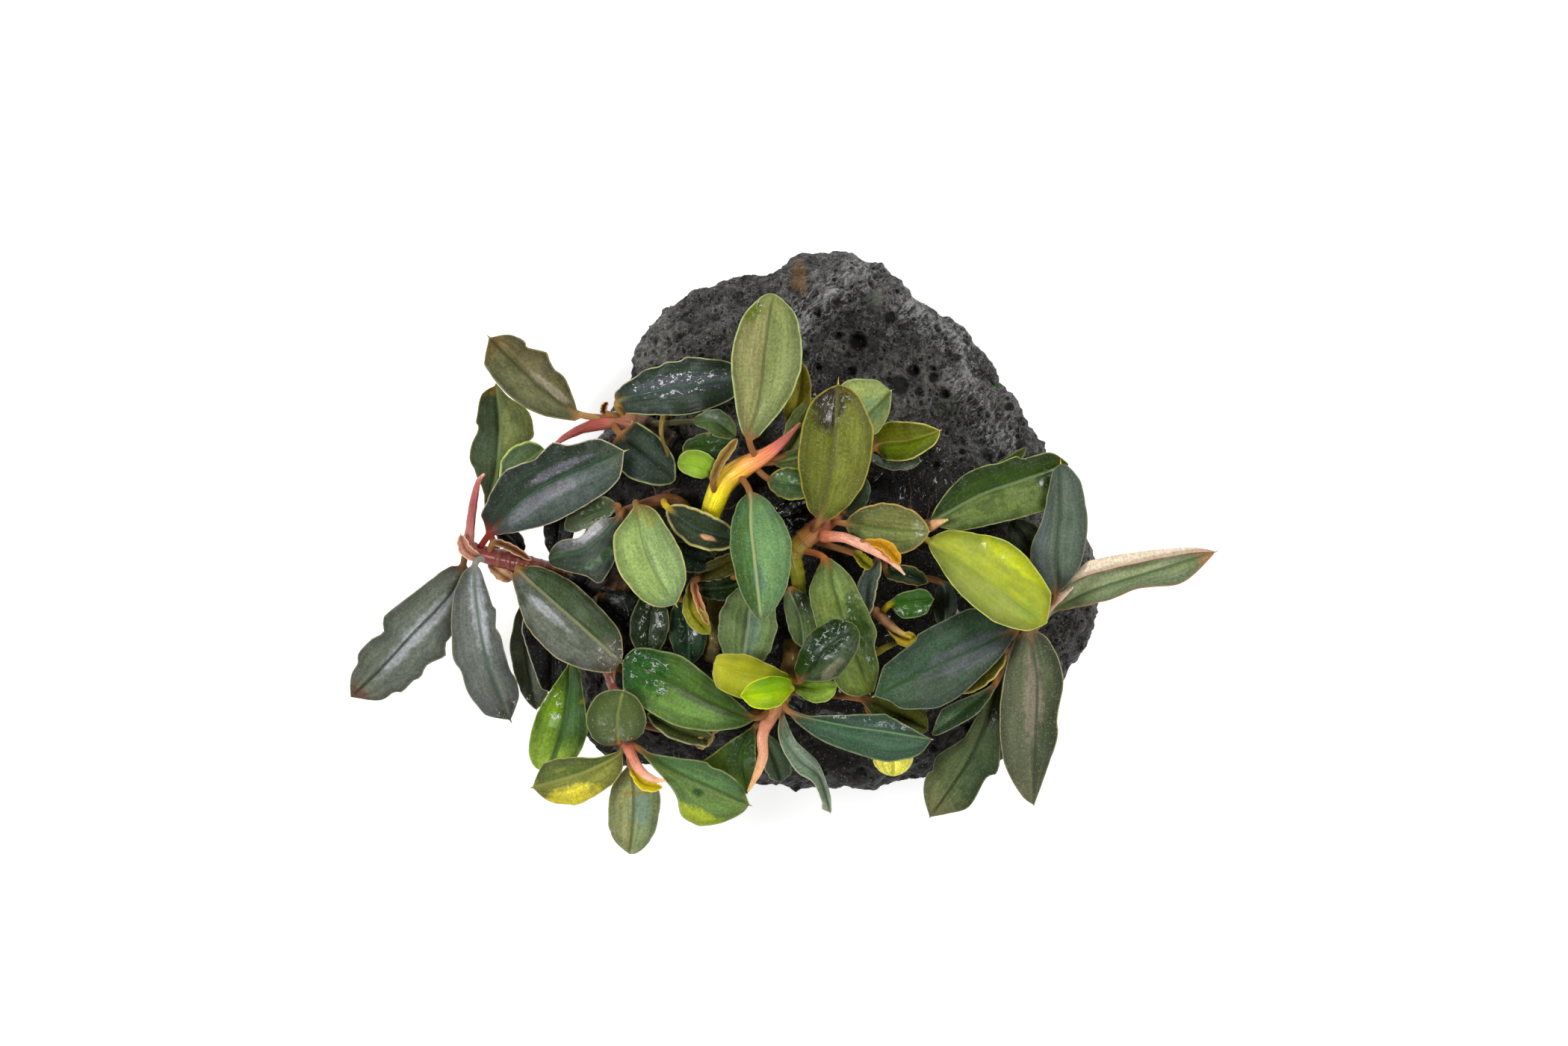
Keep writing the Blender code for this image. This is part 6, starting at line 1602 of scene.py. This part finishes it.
def rough_block(name, levels):
    """The CAD rock's block, smoothed into small faces, and into smaller ones where it is bare."""
    mesh = bpy.data.objects["lava_rock"].data.copy()
    mesh_data = bmesh.new()
    mesh_data.from_mesh(mesh)
    bmesh.ops.remove_doubles(mesh_data, verts=mesh_data.verts, dist=MERGE_DISTANCE)
    bmesh.ops.join_triangles(
        mesh_data, faces=mesh_data.faces, angle_face_threshold=math.pi, angle_shape_threshold=math.pi,
    )
    mesh_data.to_mesh(mesh)
    mesh_data.free()
    block = bpy.data.objects.new(name, mesh)
    bpy.context.scene.collection.objects.link(block)
    smooth = block.modifiers.new("Smooth block", "SUBSURF")
    smooth.levels = levels
    smooth.render_levels = levels
    fine = evaluated_mesh(block)
    bpy.data.objects.remove(block)
    mesh_data = bmesh.new()
    mesh_data.from_mesh(fine)
    (x0, y0), (x1, y1) = BARE_CORNERS
    edges = set()
    for face in mesh_data.faces:
        middle = face.calc_center_median() / MM
        if face.normal.z > BARE_TILT and x0 < middle.x < x1 and y0 < middle.y < y1:
            edges.update(face.edges)
    bmesh.ops.subdivide_edges(mesh_data, edges=list(edges), cuts=BARE_CUTS, use_grid_fill=True)
    mesh_data.to_mesh(fine)
    mesh_data.free()
    return fine


def evaluated_mesh(source):
    """The object as its modifiers leave it, as a plain mesh."""
    bpy.context.view_layer.update()
    graph = bpy.context.evaluated_depsgraph_get()
    return bpy.data.meshes.new_from_object(source.evaluated_get(graph))


def plain_object(name, mesh, material):
    """A finished piece, with its place in its mesh."""
    mesh.name = name
    mesh.materials.clear()
    mesh.materials.append(material)
    piece = bpy.data.objects.new(name, mesh)
    bpy.context.scene.collection.objects.link(piece)
    return piece


def run_tree(name, mesh, tree, values):
    """Passes a mesh through a geometry node tree and gives the result back as a plain mesh."""
    carrier = bpy.data.objects.new(name + " carrier", mesh)
    bpy.context.scene.collection.objects.link(carrier)
    modifier = carrier.modifiers.new(tree.name, "NODES")
    modifier.node_group = tree
    sockets = {item.name: item.identifier for item in tree.interface.items_tree if item.in_out == "INPUT"}
    for label, value in values.items():
        modifier[sockets[label]] = value
    made = evaluated_mesh(carrier)
    carrier.modifiers.remove(modifier)
    bpy.data.objects.remove(carrier)
    return made


def distance_to_line(xy, line):
    """How far each point is from a line of straight pieces, seen from above."""
    least = np.full(len(xy), 1e6)
    for (ax, ay), (bx, by) in zip(line, line[1:]):
        way = np.array([bx - ax, by - ay])
        along = np.clip(((xy - (ax, ay)) @ way) / (way @ way), 0.0, 1.0)
        away = np.linalg.norm(xy - (ax, ay) - along[:, None] * way, axis=1)
        least = np.minimum(least, away)
    return least


def carve_rock(mesh):
    """Sinks the pits that stand out, raises the worn edges, and marks both for the material."""
    count = len(mesh.vertices)
    points = np.empty(count * 3, dtype=np.float32)
    mesh.vertices.foreach_get("co", points)
    points = points.reshape(-1, 3) / MM
    normals = np.array([vert.normal.z for vert in mesh.vertices])
    facing = np.clip(normals * 2.0, 0.0, 1.0) * (points[:, 2] > PIT_LEAST_HEIGHT)
    xy = points[:, :2].astype(float)
    pit = np.empty(count, dtype=np.float32)
    mesh.attributes["Pit"].data.foreach_get("value", pit)
    drop = np.zeros(count)
    for at, radius, depth in ROCK_PITS:
        away = np.linalg.norm(xy - at, axis=1) / radius
        inside = 1.0 - soft_step(away, *PIT_WALL)
        lip = np.exp(-(((away - LIP_PLACE) / LIP_WIDTH) ** 2))
        drop += (depth * inside - LIP_HEIGHT * lip) * facing
        pit = np.maximum(pit, inside * facing)
    crest = np.zeros(count)
    glow = np.zeros(count)
    for line, width in ROCK_CRESTS:
        away = distance_to_line(xy, line)
        crest = np.maximum(crest, np.exp(-((away / width) ** 2)) * facing)
        glow = np.maximum(glow, np.exp(-((away / CREST_GLOW) ** 2)))
    points[:, 2] += crest * CREST_HEIGHT - drop
    mesh.vertices.foreach_set("co", (points * MM).astype(np.float32).ravel())
    add_values(mesh, "Marks", np.stack([pit, crest, glow], axis=-1))
    mesh.update()


def rock_material(grain, settings):
    """Dark basalt with pale fibrous streaks, stains, worn edges and damp hollows, with painted highlights on
    its fine ridges, hole lips, crests and glints, painted light and shade over its relief, and painted shade
    in its holes and pits, under the leaves and low on its sides.
    """
    material, wires, shader = new_material("Lava rock")
    where = wires.object_place()
    x, y, z = wires.split(where)
    pit, crest, glow = wires.split(wires.attribute("Marks", "Vector"))
    flat = wires.join(x, y, 0.0)
    ragged = wires.waver(where, 0.5, 4.0, 0.65)

    def zone(at, reach, spread=1.2):
        """1 inside an oval place seen from above, fading out at its ragged edge."""
        away = wires.vector("DIVIDE", wires.vector("SUBTRACT", flat, (*at, 0.0)), (*reach, 1.0))
        away = wires.plus(wires.vector("LENGTH", away), wires.times(ragged, spread))
        return wires.rise(away, 1.2, 0.5)

    broad = wires.rise(wires.noise(where, 0.11, 3.0, 0.6), 0.36, 0.64, 0.2, 0.8)
    colour = wires.mix(broad, paint(settings.dark_colour[:]), paint(settings.light_colour[:]))
    grained = wires.grain(grain, where, 1.3, 1.9)
    # Painted light and shade: the colour is made lighter on raised parts of the relief and darker in its
    # hollows, besides the grain
    raised = wires.rise(wires.attribute("Raised"), 0.1, 1.1, 0.5, 1.9)
    shade = wires.times(wires.rise(grained["Value"], 0.4, 1.6, 0.1, 2.4), raised)
    colour = wires.shaded(colour, shade)

    # Fibres run aslant over the rock, and fine ridges with them. The pale streaks are the rock's own, painted
    # stronger near the crests as a painted highlight, and the fine ridges are painted pale as painted
    # highlights
    aslant = wires.plus(wires.times(wires.plus(x, wires.times(y, -1.0)), 0.7), wires.times(ragged, 3.0))
    along = wires.times(wires.plus(x, y), 0.7)
    fibre_spot = wires.join(wires.times(along, 0.4), wires.times(aslant, 2.0), wires.times(z, 0.6))
    fibres = wires.noise(fibre_spot, 1.0, 4.0, 0.65)
    streak = wires.times(wires.rise(fibres, 0.5, 0.6), wires.rise(glow, 0.1, 0.9, 0.1, 1.0))
    colour = wires.mix(wires.times(streak, 0.85), colour, paint(STREAK_COLOUR))
    crumple = wires.waver(wires.join(wires.times(along, 0.6), aslant, z), 0.7, 3.0, 0.6)
    ridges = wires.rise(wires.distance(crumple), 0.035, 0.005)
    ridges = wires.times(ridges, wires.rise(wires.noise(where, 0.3), 0.46, 0.56))
    colour = wires.mix(wires.times(ridges, 0.55), colour, paint(RIDGE_HIGHLIGHT_COLOUR))

    # Small holes painted dark inside as painted shade, with a painted highlight on their lips, then stains,
    # the deep pits painted dark as painted shade, and a painted highlight along the worn edges
    away, chance = wires.cells(where, 0.75)
    open_ = wires.rise(chance, 0.5, 0.54)
    hole = wires.times(wires.rise(away, 0.34, 0.24), open_)
    lip = wires.times(wires.rise(away, 0.3, 0.36), wires.rise(away, 0.46, 0.38), open_)
    colour = wires.mix(wires.times(lip, 0.45), colour, paint(LIP_HIGHLIGHT_COLOUR))
    colour = wires.mix(wires.times(hole, 0.85), colour, paint(HOLE_SHADE_COLOUR))
    for at, reach, stain, amount in ROCK_STAINS:
        stained = wires.times(zone(at, reach, 1.6), wires.rise(fibres, 0.4, 0.56, 0.25, 1.0), amount)
        colour = wires.mix(stained, colour, paint(stain))
    colour = wires.mix(wires.times(wires.rise(pit, 0.1, 0.9), 0.88), colour, paint(HOLE_SHADE_COLOUR))
    # Painted highlight: the crests are painted pale where they catch the light
    crest_highlight = wires.times(wires.rise(crest, 0.15, 0.8), wires.rise(fibres, 0.4, 0.56), 0.8)
    colour = wires.mix(crest_highlight, colour, paint(CREST_HIGHLIGHT_COLOUR))

    # Painted shade: the rock is painted near black under the leaves and low on its sides, and dark where it
    # is damp, then given small painted glints
    shaded = wires.rise(wires.plus(y, wires.times(ragged, 10.0)), 15.0, 8.0)
    shaded = wires.math("MAXIMUM", shaded, wires.rise(z, 20.0, 12.0))
    shaded = wires.times(shaded, wires.rise(x, 36.0, 26.0, 0.15, 0.8))
    damp_and_shade = wires.math("MAXIMUM", *(zone(at, reach) for at, reach in ROCK_DAMP_AND_SHADE))
    dark = wires.math("MAXIMUM", shaded, wires.times(damp_and_shade, 0.75))
    colour = wires.mix(dark, colour, paint(DAMP_AND_SHADE_COLOUR))
    # Painted highlights: small pale glints painted into the colour, more of them where the rock is damp
    away, chance = wires.cells(where, 2.2)
    chance = wires.plus(chance, wires.times(damp_and_shade, 0.26))
    painted_glints = wires.times(wires.rise(away, 0.32, 0.1), wires.rise(chance, 0.66, 0.8))
    colour = wires.mix(wires.times(painted_glints, 0.6), colour, paint(PAINTED_GLINT_COLOUR))

    wires.put(shader.inputs["Base Color"], colour)
    wires.put(shader.inputs["Roughness"], wires.rise(damp_and_shade, 0.0, 1.0, 0.56, 0.3))
    wires.put(shader.inputs["Coat Weight"], wires.times(damp_and_shade, 0.4))
    set_inputs(shader, {"Coat Roughness": 0.12, "Specular IOR Level": 0.36})
    relief = wires.plus(wires.times(grained["Height"], 2.2), wires.times(fibres, 0.25))
    relief = wires.plus(relief, wires.times(hole, -0.4), wires.times(ridges, 0.5))
    bump(wires, shader, relief, 1.0)
    return material


def line_carrier(name, lines):
    """Bare edges through lists of points, each with its x, y, z and radius in millimetres."""
    points = []
    edges = []
    radii = []
    for line in lines:
        start = len(points)
        points += [tuple(value * MM for value in point[:3]) for point in line]
        radii += [point[3] for point in line]
        edges += [(index, index + 1) for index in range(start, len(points) - 1)]
    mesh = bpy.data.meshes.new(name)
    mesh.from_pydata(points, edges, [])
    layer = mesh.attributes.new("thick", "FLOAT", "POINT")
    layer.data.foreach_set("value", np.array(radii, dtype=np.float32))
    return mesh


def root_lines(settings):
    """Rootlets that leave the underside of each stem and creep over the rock, thinning out."""
    luck = random.Random(settings.seed)
    rock = bpy.data.objects["lava_rock_skin"].data
    points = [tuple(vert.co / MM) for vert in rock.vertices]
    ground = BVHTree.FromPolygons(points, [tuple(face.vertices) for face in rock.polygons])
    down = Vector((0.0, 0.0, -1.0))
    lines = []
    for stem in RHIZOMES.values():
        for _ in range(settings.count):
            place = luck.uniform(ROOT_PLACES[0], ROOT_PLACES[1] * (len(stem.points) - 1))
            x, y, z, radius = smooth_point(stem.points, place)
            hit = ground.ray_cast(Vector((x, y, z)), down)[0]
            if hit is None or z - hit.z > ROOT_DROP:
                continue
            heading = luck.uniform(0.0, math.tau)
            thick = settings.radius / MM * luck.uniform(*ROOT_THICKNESSES)
            steps = int(settings.length / MM * luck.uniform(*ROOT_LENGTHS) / ROOT_STEP)
            steps = max(LEAST_STEPS, steps)
            line = [(x, y, z - radius * ROOT_START_DEPTH, thick * ROOT_FLARE)]
            spot = Vector((x, y, 0.0))
            last = hit.z
            for step in range(steps):
                heading += luck.gauss(0.0, ROOT_SWING)
                spot += Vector((math.cos(heading), math.sin(heading), 0.0)) * ROOT_STEP
                hit = ground.ray_cast(Vector((spot.x, spot.y, last + ROOT_CLIMB)), down)[0]
                if hit is None or abs(hit.z - last) > ROOT_CLIMB:
                    break
                last = hit.z
                thin = thick * (1.0 - ROOT_THINNING * (step + 1) / steps)
                line.append((spot.x, spot.y, last + thin / 2, thin))
            if len(line) > LEAST_STEPS:
                lines.append(line)
    return lines


def length(name, description, default, **limits):
    """A size in millimetres that a user may change."""
    return FloatProperty(
        name=name, description=description, default=default * MM, unit="LENGTH", precision=5, **limits
    )


def share_of(name, description, default, most=1.0):
    """A share that a user may change."""
    return FloatProperty(
        name=name, description=description, default=default, min=0.0, max=most, subtype="FACTOR"
    )


def shown_colour(name, description, default):
    """A colour as it is seen, red, green and blue from 0 to 255, that a user may change."""
    return FloatVectorProperty(
        name=name, description=description, size=3, default=default, min=0.0, max=255.0
    )


class LeafSettings(bpy.types.PropertyGroup):
    """Sizes that every leaf shares."""

    thickness: length("Thickness", "Thickness of a blade at its middle", 0.4, min=0.1 * MM, max=2.0 * MM)
    stalk_radius: length("Stalk radius", "Radius of a leaf's stalk", 0.55)
    rib_depth: length("Midrib depth", "How far the midrib is sunk in the upper side", 0.25)
    ruffle: share_of("Ruffle", "How strongly the margins wave, as a share of each leaf's own", 1.0, 3.0)


class StemSettings(bpy.types.PropertyGroup):
    """Rhizomes, shoots and old stems."""

    sides: IntProperty(name="Sides", description="Faces round a stem", default=20, min=6, max=64)
    ring_spacing: length("Ring spacing", "Distance between the scars of old leaves", 1.7)
    ring_height: share_of("Ring height", "How far a scar stands out, as a share of the radius", 0.09)
    lump: length("Unevenness", "How uneven the skin is", 0.14)


class RootSettings(bpy.types.PropertyGroup):
    """Rootlets that hold the stems to the rock."""

    count: IntProperty(name="Count", description="Rootlets tried under each stem", default=9, min=0, max=60)
    length: length("Length", "Usual length of a rootlet", 8.0)
    radius: length("Radius", "Radius where a rootlet starts", 0.22)
    seed: IntProperty(name="Seed", description="Changes how the rootlets wander", default=4)


class RockSettings(bpy.types.PropertyGroup):
    """The lump of lava."""

    levels: IntProperty(name="Levels", description="How often the block is smoothed", default=3, min=1, max=4)
    lump: length("Lumps", "Height of the broad lumps", 1.1)
    scallop: length("Scallops", "Height of the sharp ridges between the hollows", 3.2)
    grit: length("Grit", "Height of the fine roughness", 0.5)
    pit_depth: length("Pit depth", "Depth of the largest gas pits", 1.1)
    pit_share: share_of("Pits", "Share of the places that have a pit", 0.42)
    dark_colour: shown_colour("Dark colour", "The darker lava", (31.0, 30.0, 31.0))
    light_colour: shown_colour("Light colour", "The lighter lava", (84.0, 83.0, 79.0))


class StageSettings(bpy.types.PropertyGroup):
    """The floor, the lights and the camera."""

    view_width: length("View width", "Width that the camera sees at the plant's height", 262.4)
    distance: length("Camera distance", "From the plant's height up to the camera", 2500.0)
    light_power: FloatProperty(
        name="Light power", description="Power of each soft light", default=8.0, min=0.0, unit="POWER",
    )
    floor_glow: share_of("Floor glow", "Light that the floor gives off, so that it stays pale", 0.56)


def hand_over(piece, replaced=()):
    """Puts a finished piece on the body that it rides on, and hides the CAD nodes that it stands for."""
    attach(piece, BODY)
    if replaced:
        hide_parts(*replaced)


def grain_group():
    """The grain that the materials share, built the first time that it is asked for."""
    return bpy.data.node_groups.get("Fine grain") or fine_grain_group()


def leaf_group():
    """The skin that the leaves share, built the first time that it is asked for."""
    return bpy.data.node_groups.get("Leaf surface") or leaf_surface_group(grain_group())


def ringed_tree():
    """The tree that the stems and rootlets share, built the first time that it is asked for."""
    return bpy.data.node_groups.get("Ringed stem") or stem_tree()


def grow_leaf(name, leaf, settings, replaced=()):
    """Makes one leaf, its finish and its place in the model."""
    mesh = skin_leaf(name, *leaf_surface(name, leaf, settings))
    piece = plain_object(name + PIECE_MARK, mesh, leaf_material(name, leaf.look, leaf_group()))
    hand_over(piece, replaced)


class PLANT_OT_rock(bpy.types.Operator):
    """Covers the rock with pitted lava"""

    bl_idname = "plant.rock"
    bl_label = "Lava rock"

    def execute(self, context):
        settings = context.scene.plant_rock
        material = rock_material(grain_group(), settings)
        block = rough_block("block", settings.levels)
        values = {
            "Lump": settings.lump, "Scallop": settings.scallop, "Grit": settings.grit,
            "Pit Depth": settings.pit_depth, "Pit Share": settings.pit_share, "Material": material,
        }
        mesh = run_tree("lava_rock_skin", block, lava_tree(), values)
        carve_rock(mesh)
        piece = plain_object("lava_rock_skin", mesh, material)
        hand_over(piece, ["lava_rock"])
        return {"FINISHED"}


class PLANT_OT_stems(bpy.types.Operator):
    """Grows the creeping rhizomes with their rolled young leaves, and the bare stubs"""

    bl_idname = "plant.stems"
    bl_label = "Rhizomes and stubs"

    def execute(self, context):
        settings = context.scene.plant_stems
        for name, stem in (RHIZOMES | STUBS).items():
            material = stem_material(name, stem.colours, grain_group())
            values = {
                "Sides": settings.sides, "Ring Spacing": settings.ring_spacing,
                "Ring Height": settings.ring_height, "Ring End": stem.ring_end,
                "Lump": settings.lump, "Material": material,
            }
            mesh = run_tree(name, line_carrier(name, [stem.points]), ringed_tree(), values)
            piece = plain_object(name + PIECE_MARK, mesh, material)
            hand_over(piece, [name] if name in RHIZOMES else [])
        return {"FINISHED"}


class PLANT_OT_roots(bpy.types.Operator):
    """Grows the rootlets that hold the stems to the rock"""

    bl_idname = "plant.roots"
    bl_label = "Rootlets"

    def execute(self, context):
        settings = context.scene.plant_roots
        material = stem_material("rootlets", ROOT_COLOURS, grain_group())
        values = {
            "Sides": ROOT_SIDES, "Step": ROOT_STEP * MM / 2, "Ring Height": 0.0, "Ring End": 1.0,
            "Furrow": 0.0, "Lump": ROOT_UNEVENNESS, "Material": material,
        }
        mesh = run_tree("rootlets", line_carrier("rootlets", root_lines(settings)), ringed_tree(), values)
        hand_over(plain_object("rootlets", mesh, material))
        return {"FINISHED"}


class PLANT_OT_leaves(bpy.types.Operator):
    """Grows every grown leaf in place of its plain one"""

    bl_idname = "plant.leaves"
    bl_label = "Grown leaves"

    def execute(self, context):
        for name, leaf in LEAVES.items():
            grow_leaf(name, leaf, context.scene.plant_leaves, [name])
        return {"FINISHED"}


class PLANT_OT_small_leaves(bpy.types.Operator):
    """Grows the small and hidden leaves between the others"""

    bl_idname = "plant.small_leaves"
    bl_label = "Small leaves"

    def execute(self, context):
        for name, leaf in SMALL_LEAVES.items():
            grow_leaf(name, leaf, context.scene.plant_leaves)
        return {"FINISHED"}


class PLANT_OT_sheaths(bpy.types.Operator):
    """Grows the papery sheaths round the bases of the leaves"""

    bl_idname = "plant.sheaths"
    bl_label = "Sheaths"

    def execute(self, context):
        for name, leaf in SHEATHS.items():
            grow_leaf(name, leaf, context.scene.plant_leaves)
        return {"FINISHED"}


def floor_material(glow):
    """A matt floor that gives off a little light."""
    material, _, shader = new_material("Pale floor")
    grey = (FLOOR_GREY, FLOOR_GREY, FLOOR_GREY, 1.0)
    values = {"Base Color": grey, "Roughness": 0.9, "Emission Color": WHITE, "Emission Strength": glow}
    set_inputs(shader, values)
    return material


def soft_light(name, place, aim, size, power):
    """A square soft light at a place, turned towards its aim."""
    light = bpy.data.lights.new(name, "AREA")
    light.shape = "SQUARE"
    light.size = size
    light.energy = power
    lamp = bpy.data.objects.new(name, light)
    lamp.location = place
    lamp.rotation_euler = (Vector(aim) - Vector(place)).to_track_quat("-Z", "Y").to_euler()
    bpy.context.scene.collection.objects.link(lamp)


class PLANT_OT_stage(bpy.types.Operator):
    """Sets the floor, the soft lights and the camera above the plant"""

    bl_idname = "plant.stage"
    bl_label = "Stage"

    def execute(self, context):
        scene = context.scene
        settings = scene.plant_stage
        scene.view_settings.view_transform = "Standard"
        bpy.ops.mesh.primitive_plane_add(size=FLOOR_SIZE, location=(0.0, 0.0, 0.0))
        floor = context.object
        floor.name = "floor"
        floor.data.materials.append(floor_material(settings.floor_glow))
        world = bpy.data.worlds.new("Pale room")
        world.use_nodes = True
        set_inputs(world.node_tree.nodes["Background"], {"Color": WHITE, "Strength": ROOM_LIGHT})
        scene.world = world
        aim = (0.0, 0.0, PLANT_HEIGHT)
        for name, place, size, share in LIGHTS:
            soft_light(name, place, aim, size, settings.light_power * share)
        camera_data = bpy.data.cameras.new("camera")
        camera_data.sensor_width = SENSOR_WIDTH
        camera_data.lens = SENSOR_WIDTH * settings.distance / settings.view_width
        camera_data.clip_end = VIEW_END
        camera = bpy.data.objects.new("camera", camera_data)
        camera.location = (VIEW_MIDDLE[0], VIEW_MIDDLE[1], PLANT_HEIGHT + settings.distance)
        scene.collection.objects.link(camera)
        scene.camera = camera
        return {"FINISHED"}


class PLANT_PT_panel(bpy.types.Panel):
    """Lists the steps that build the plant"""

    bl_idname = "PLANT_PT_panel"
    bl_label = "Bucephalandra"
    bl_space_type = "VIEW_3D"
    bl_region_type = "UI"
    bl_category = "Plant"

    def draw(self, context):
        for operator, _, name in STEPS:
            self.layout.operator(operator.bl_idname)
            settings = getattr(context.scene, name, None) if name else None
            for item in settings.__annotations__ if settings else ():
                self.layout.prop(settings, item)


# Each step in the order that they run, its settings, and their name on the scene
STEPS = (
    (PLANT_OT_stage, StageSettings, "plant_stage"),
    (PLANT_OT_rock, RockSettings, "plant_rock"),
    (PLANT_OT_stems, StemSettings, "plant_stems"),
    (PLANT_OT_roots, RootSettings, "plant_roots"),
    (PLANT_OT_leaves, LeafSettings, "plant_leaves"),
    (PLANT_OT_small_leaves, None, ""),
    (PLANT_OT_sheaths, None, ""),
)


def register():
    """Makes the steps, their settings and the panel known."""
    for operator, settings, name in STEPS:
        bpy.utils.register_class(operator)
        if settings:
            bpy.utils.register_class(settings)
            setattr(bpy.types.Scene, name, bpy.props.PointerProperty(type=settings))
    bpy.utils.register_class(PLANT_PT_panel)


def unregister():
    """Takes back what register made known."""
    bpy.utils.unregister_class(PLANT_PT_panel)
    for operator, settings, name in reversed(STEPS):
        if settings:
            delattr(bpy.types.Scene, name)
            bpy.utils.unregister_class(settings)
        bpy.utils.unregister_class(operator)


def main():
    """Builds the stage and every piece."""
    register()
    for operator, _, _ in STEPS:
        group, action = operator.bl_idname.split(".")
        getattr(getattr(bpy.ops, group), action)()


if __name__ == "__main__":
    main()
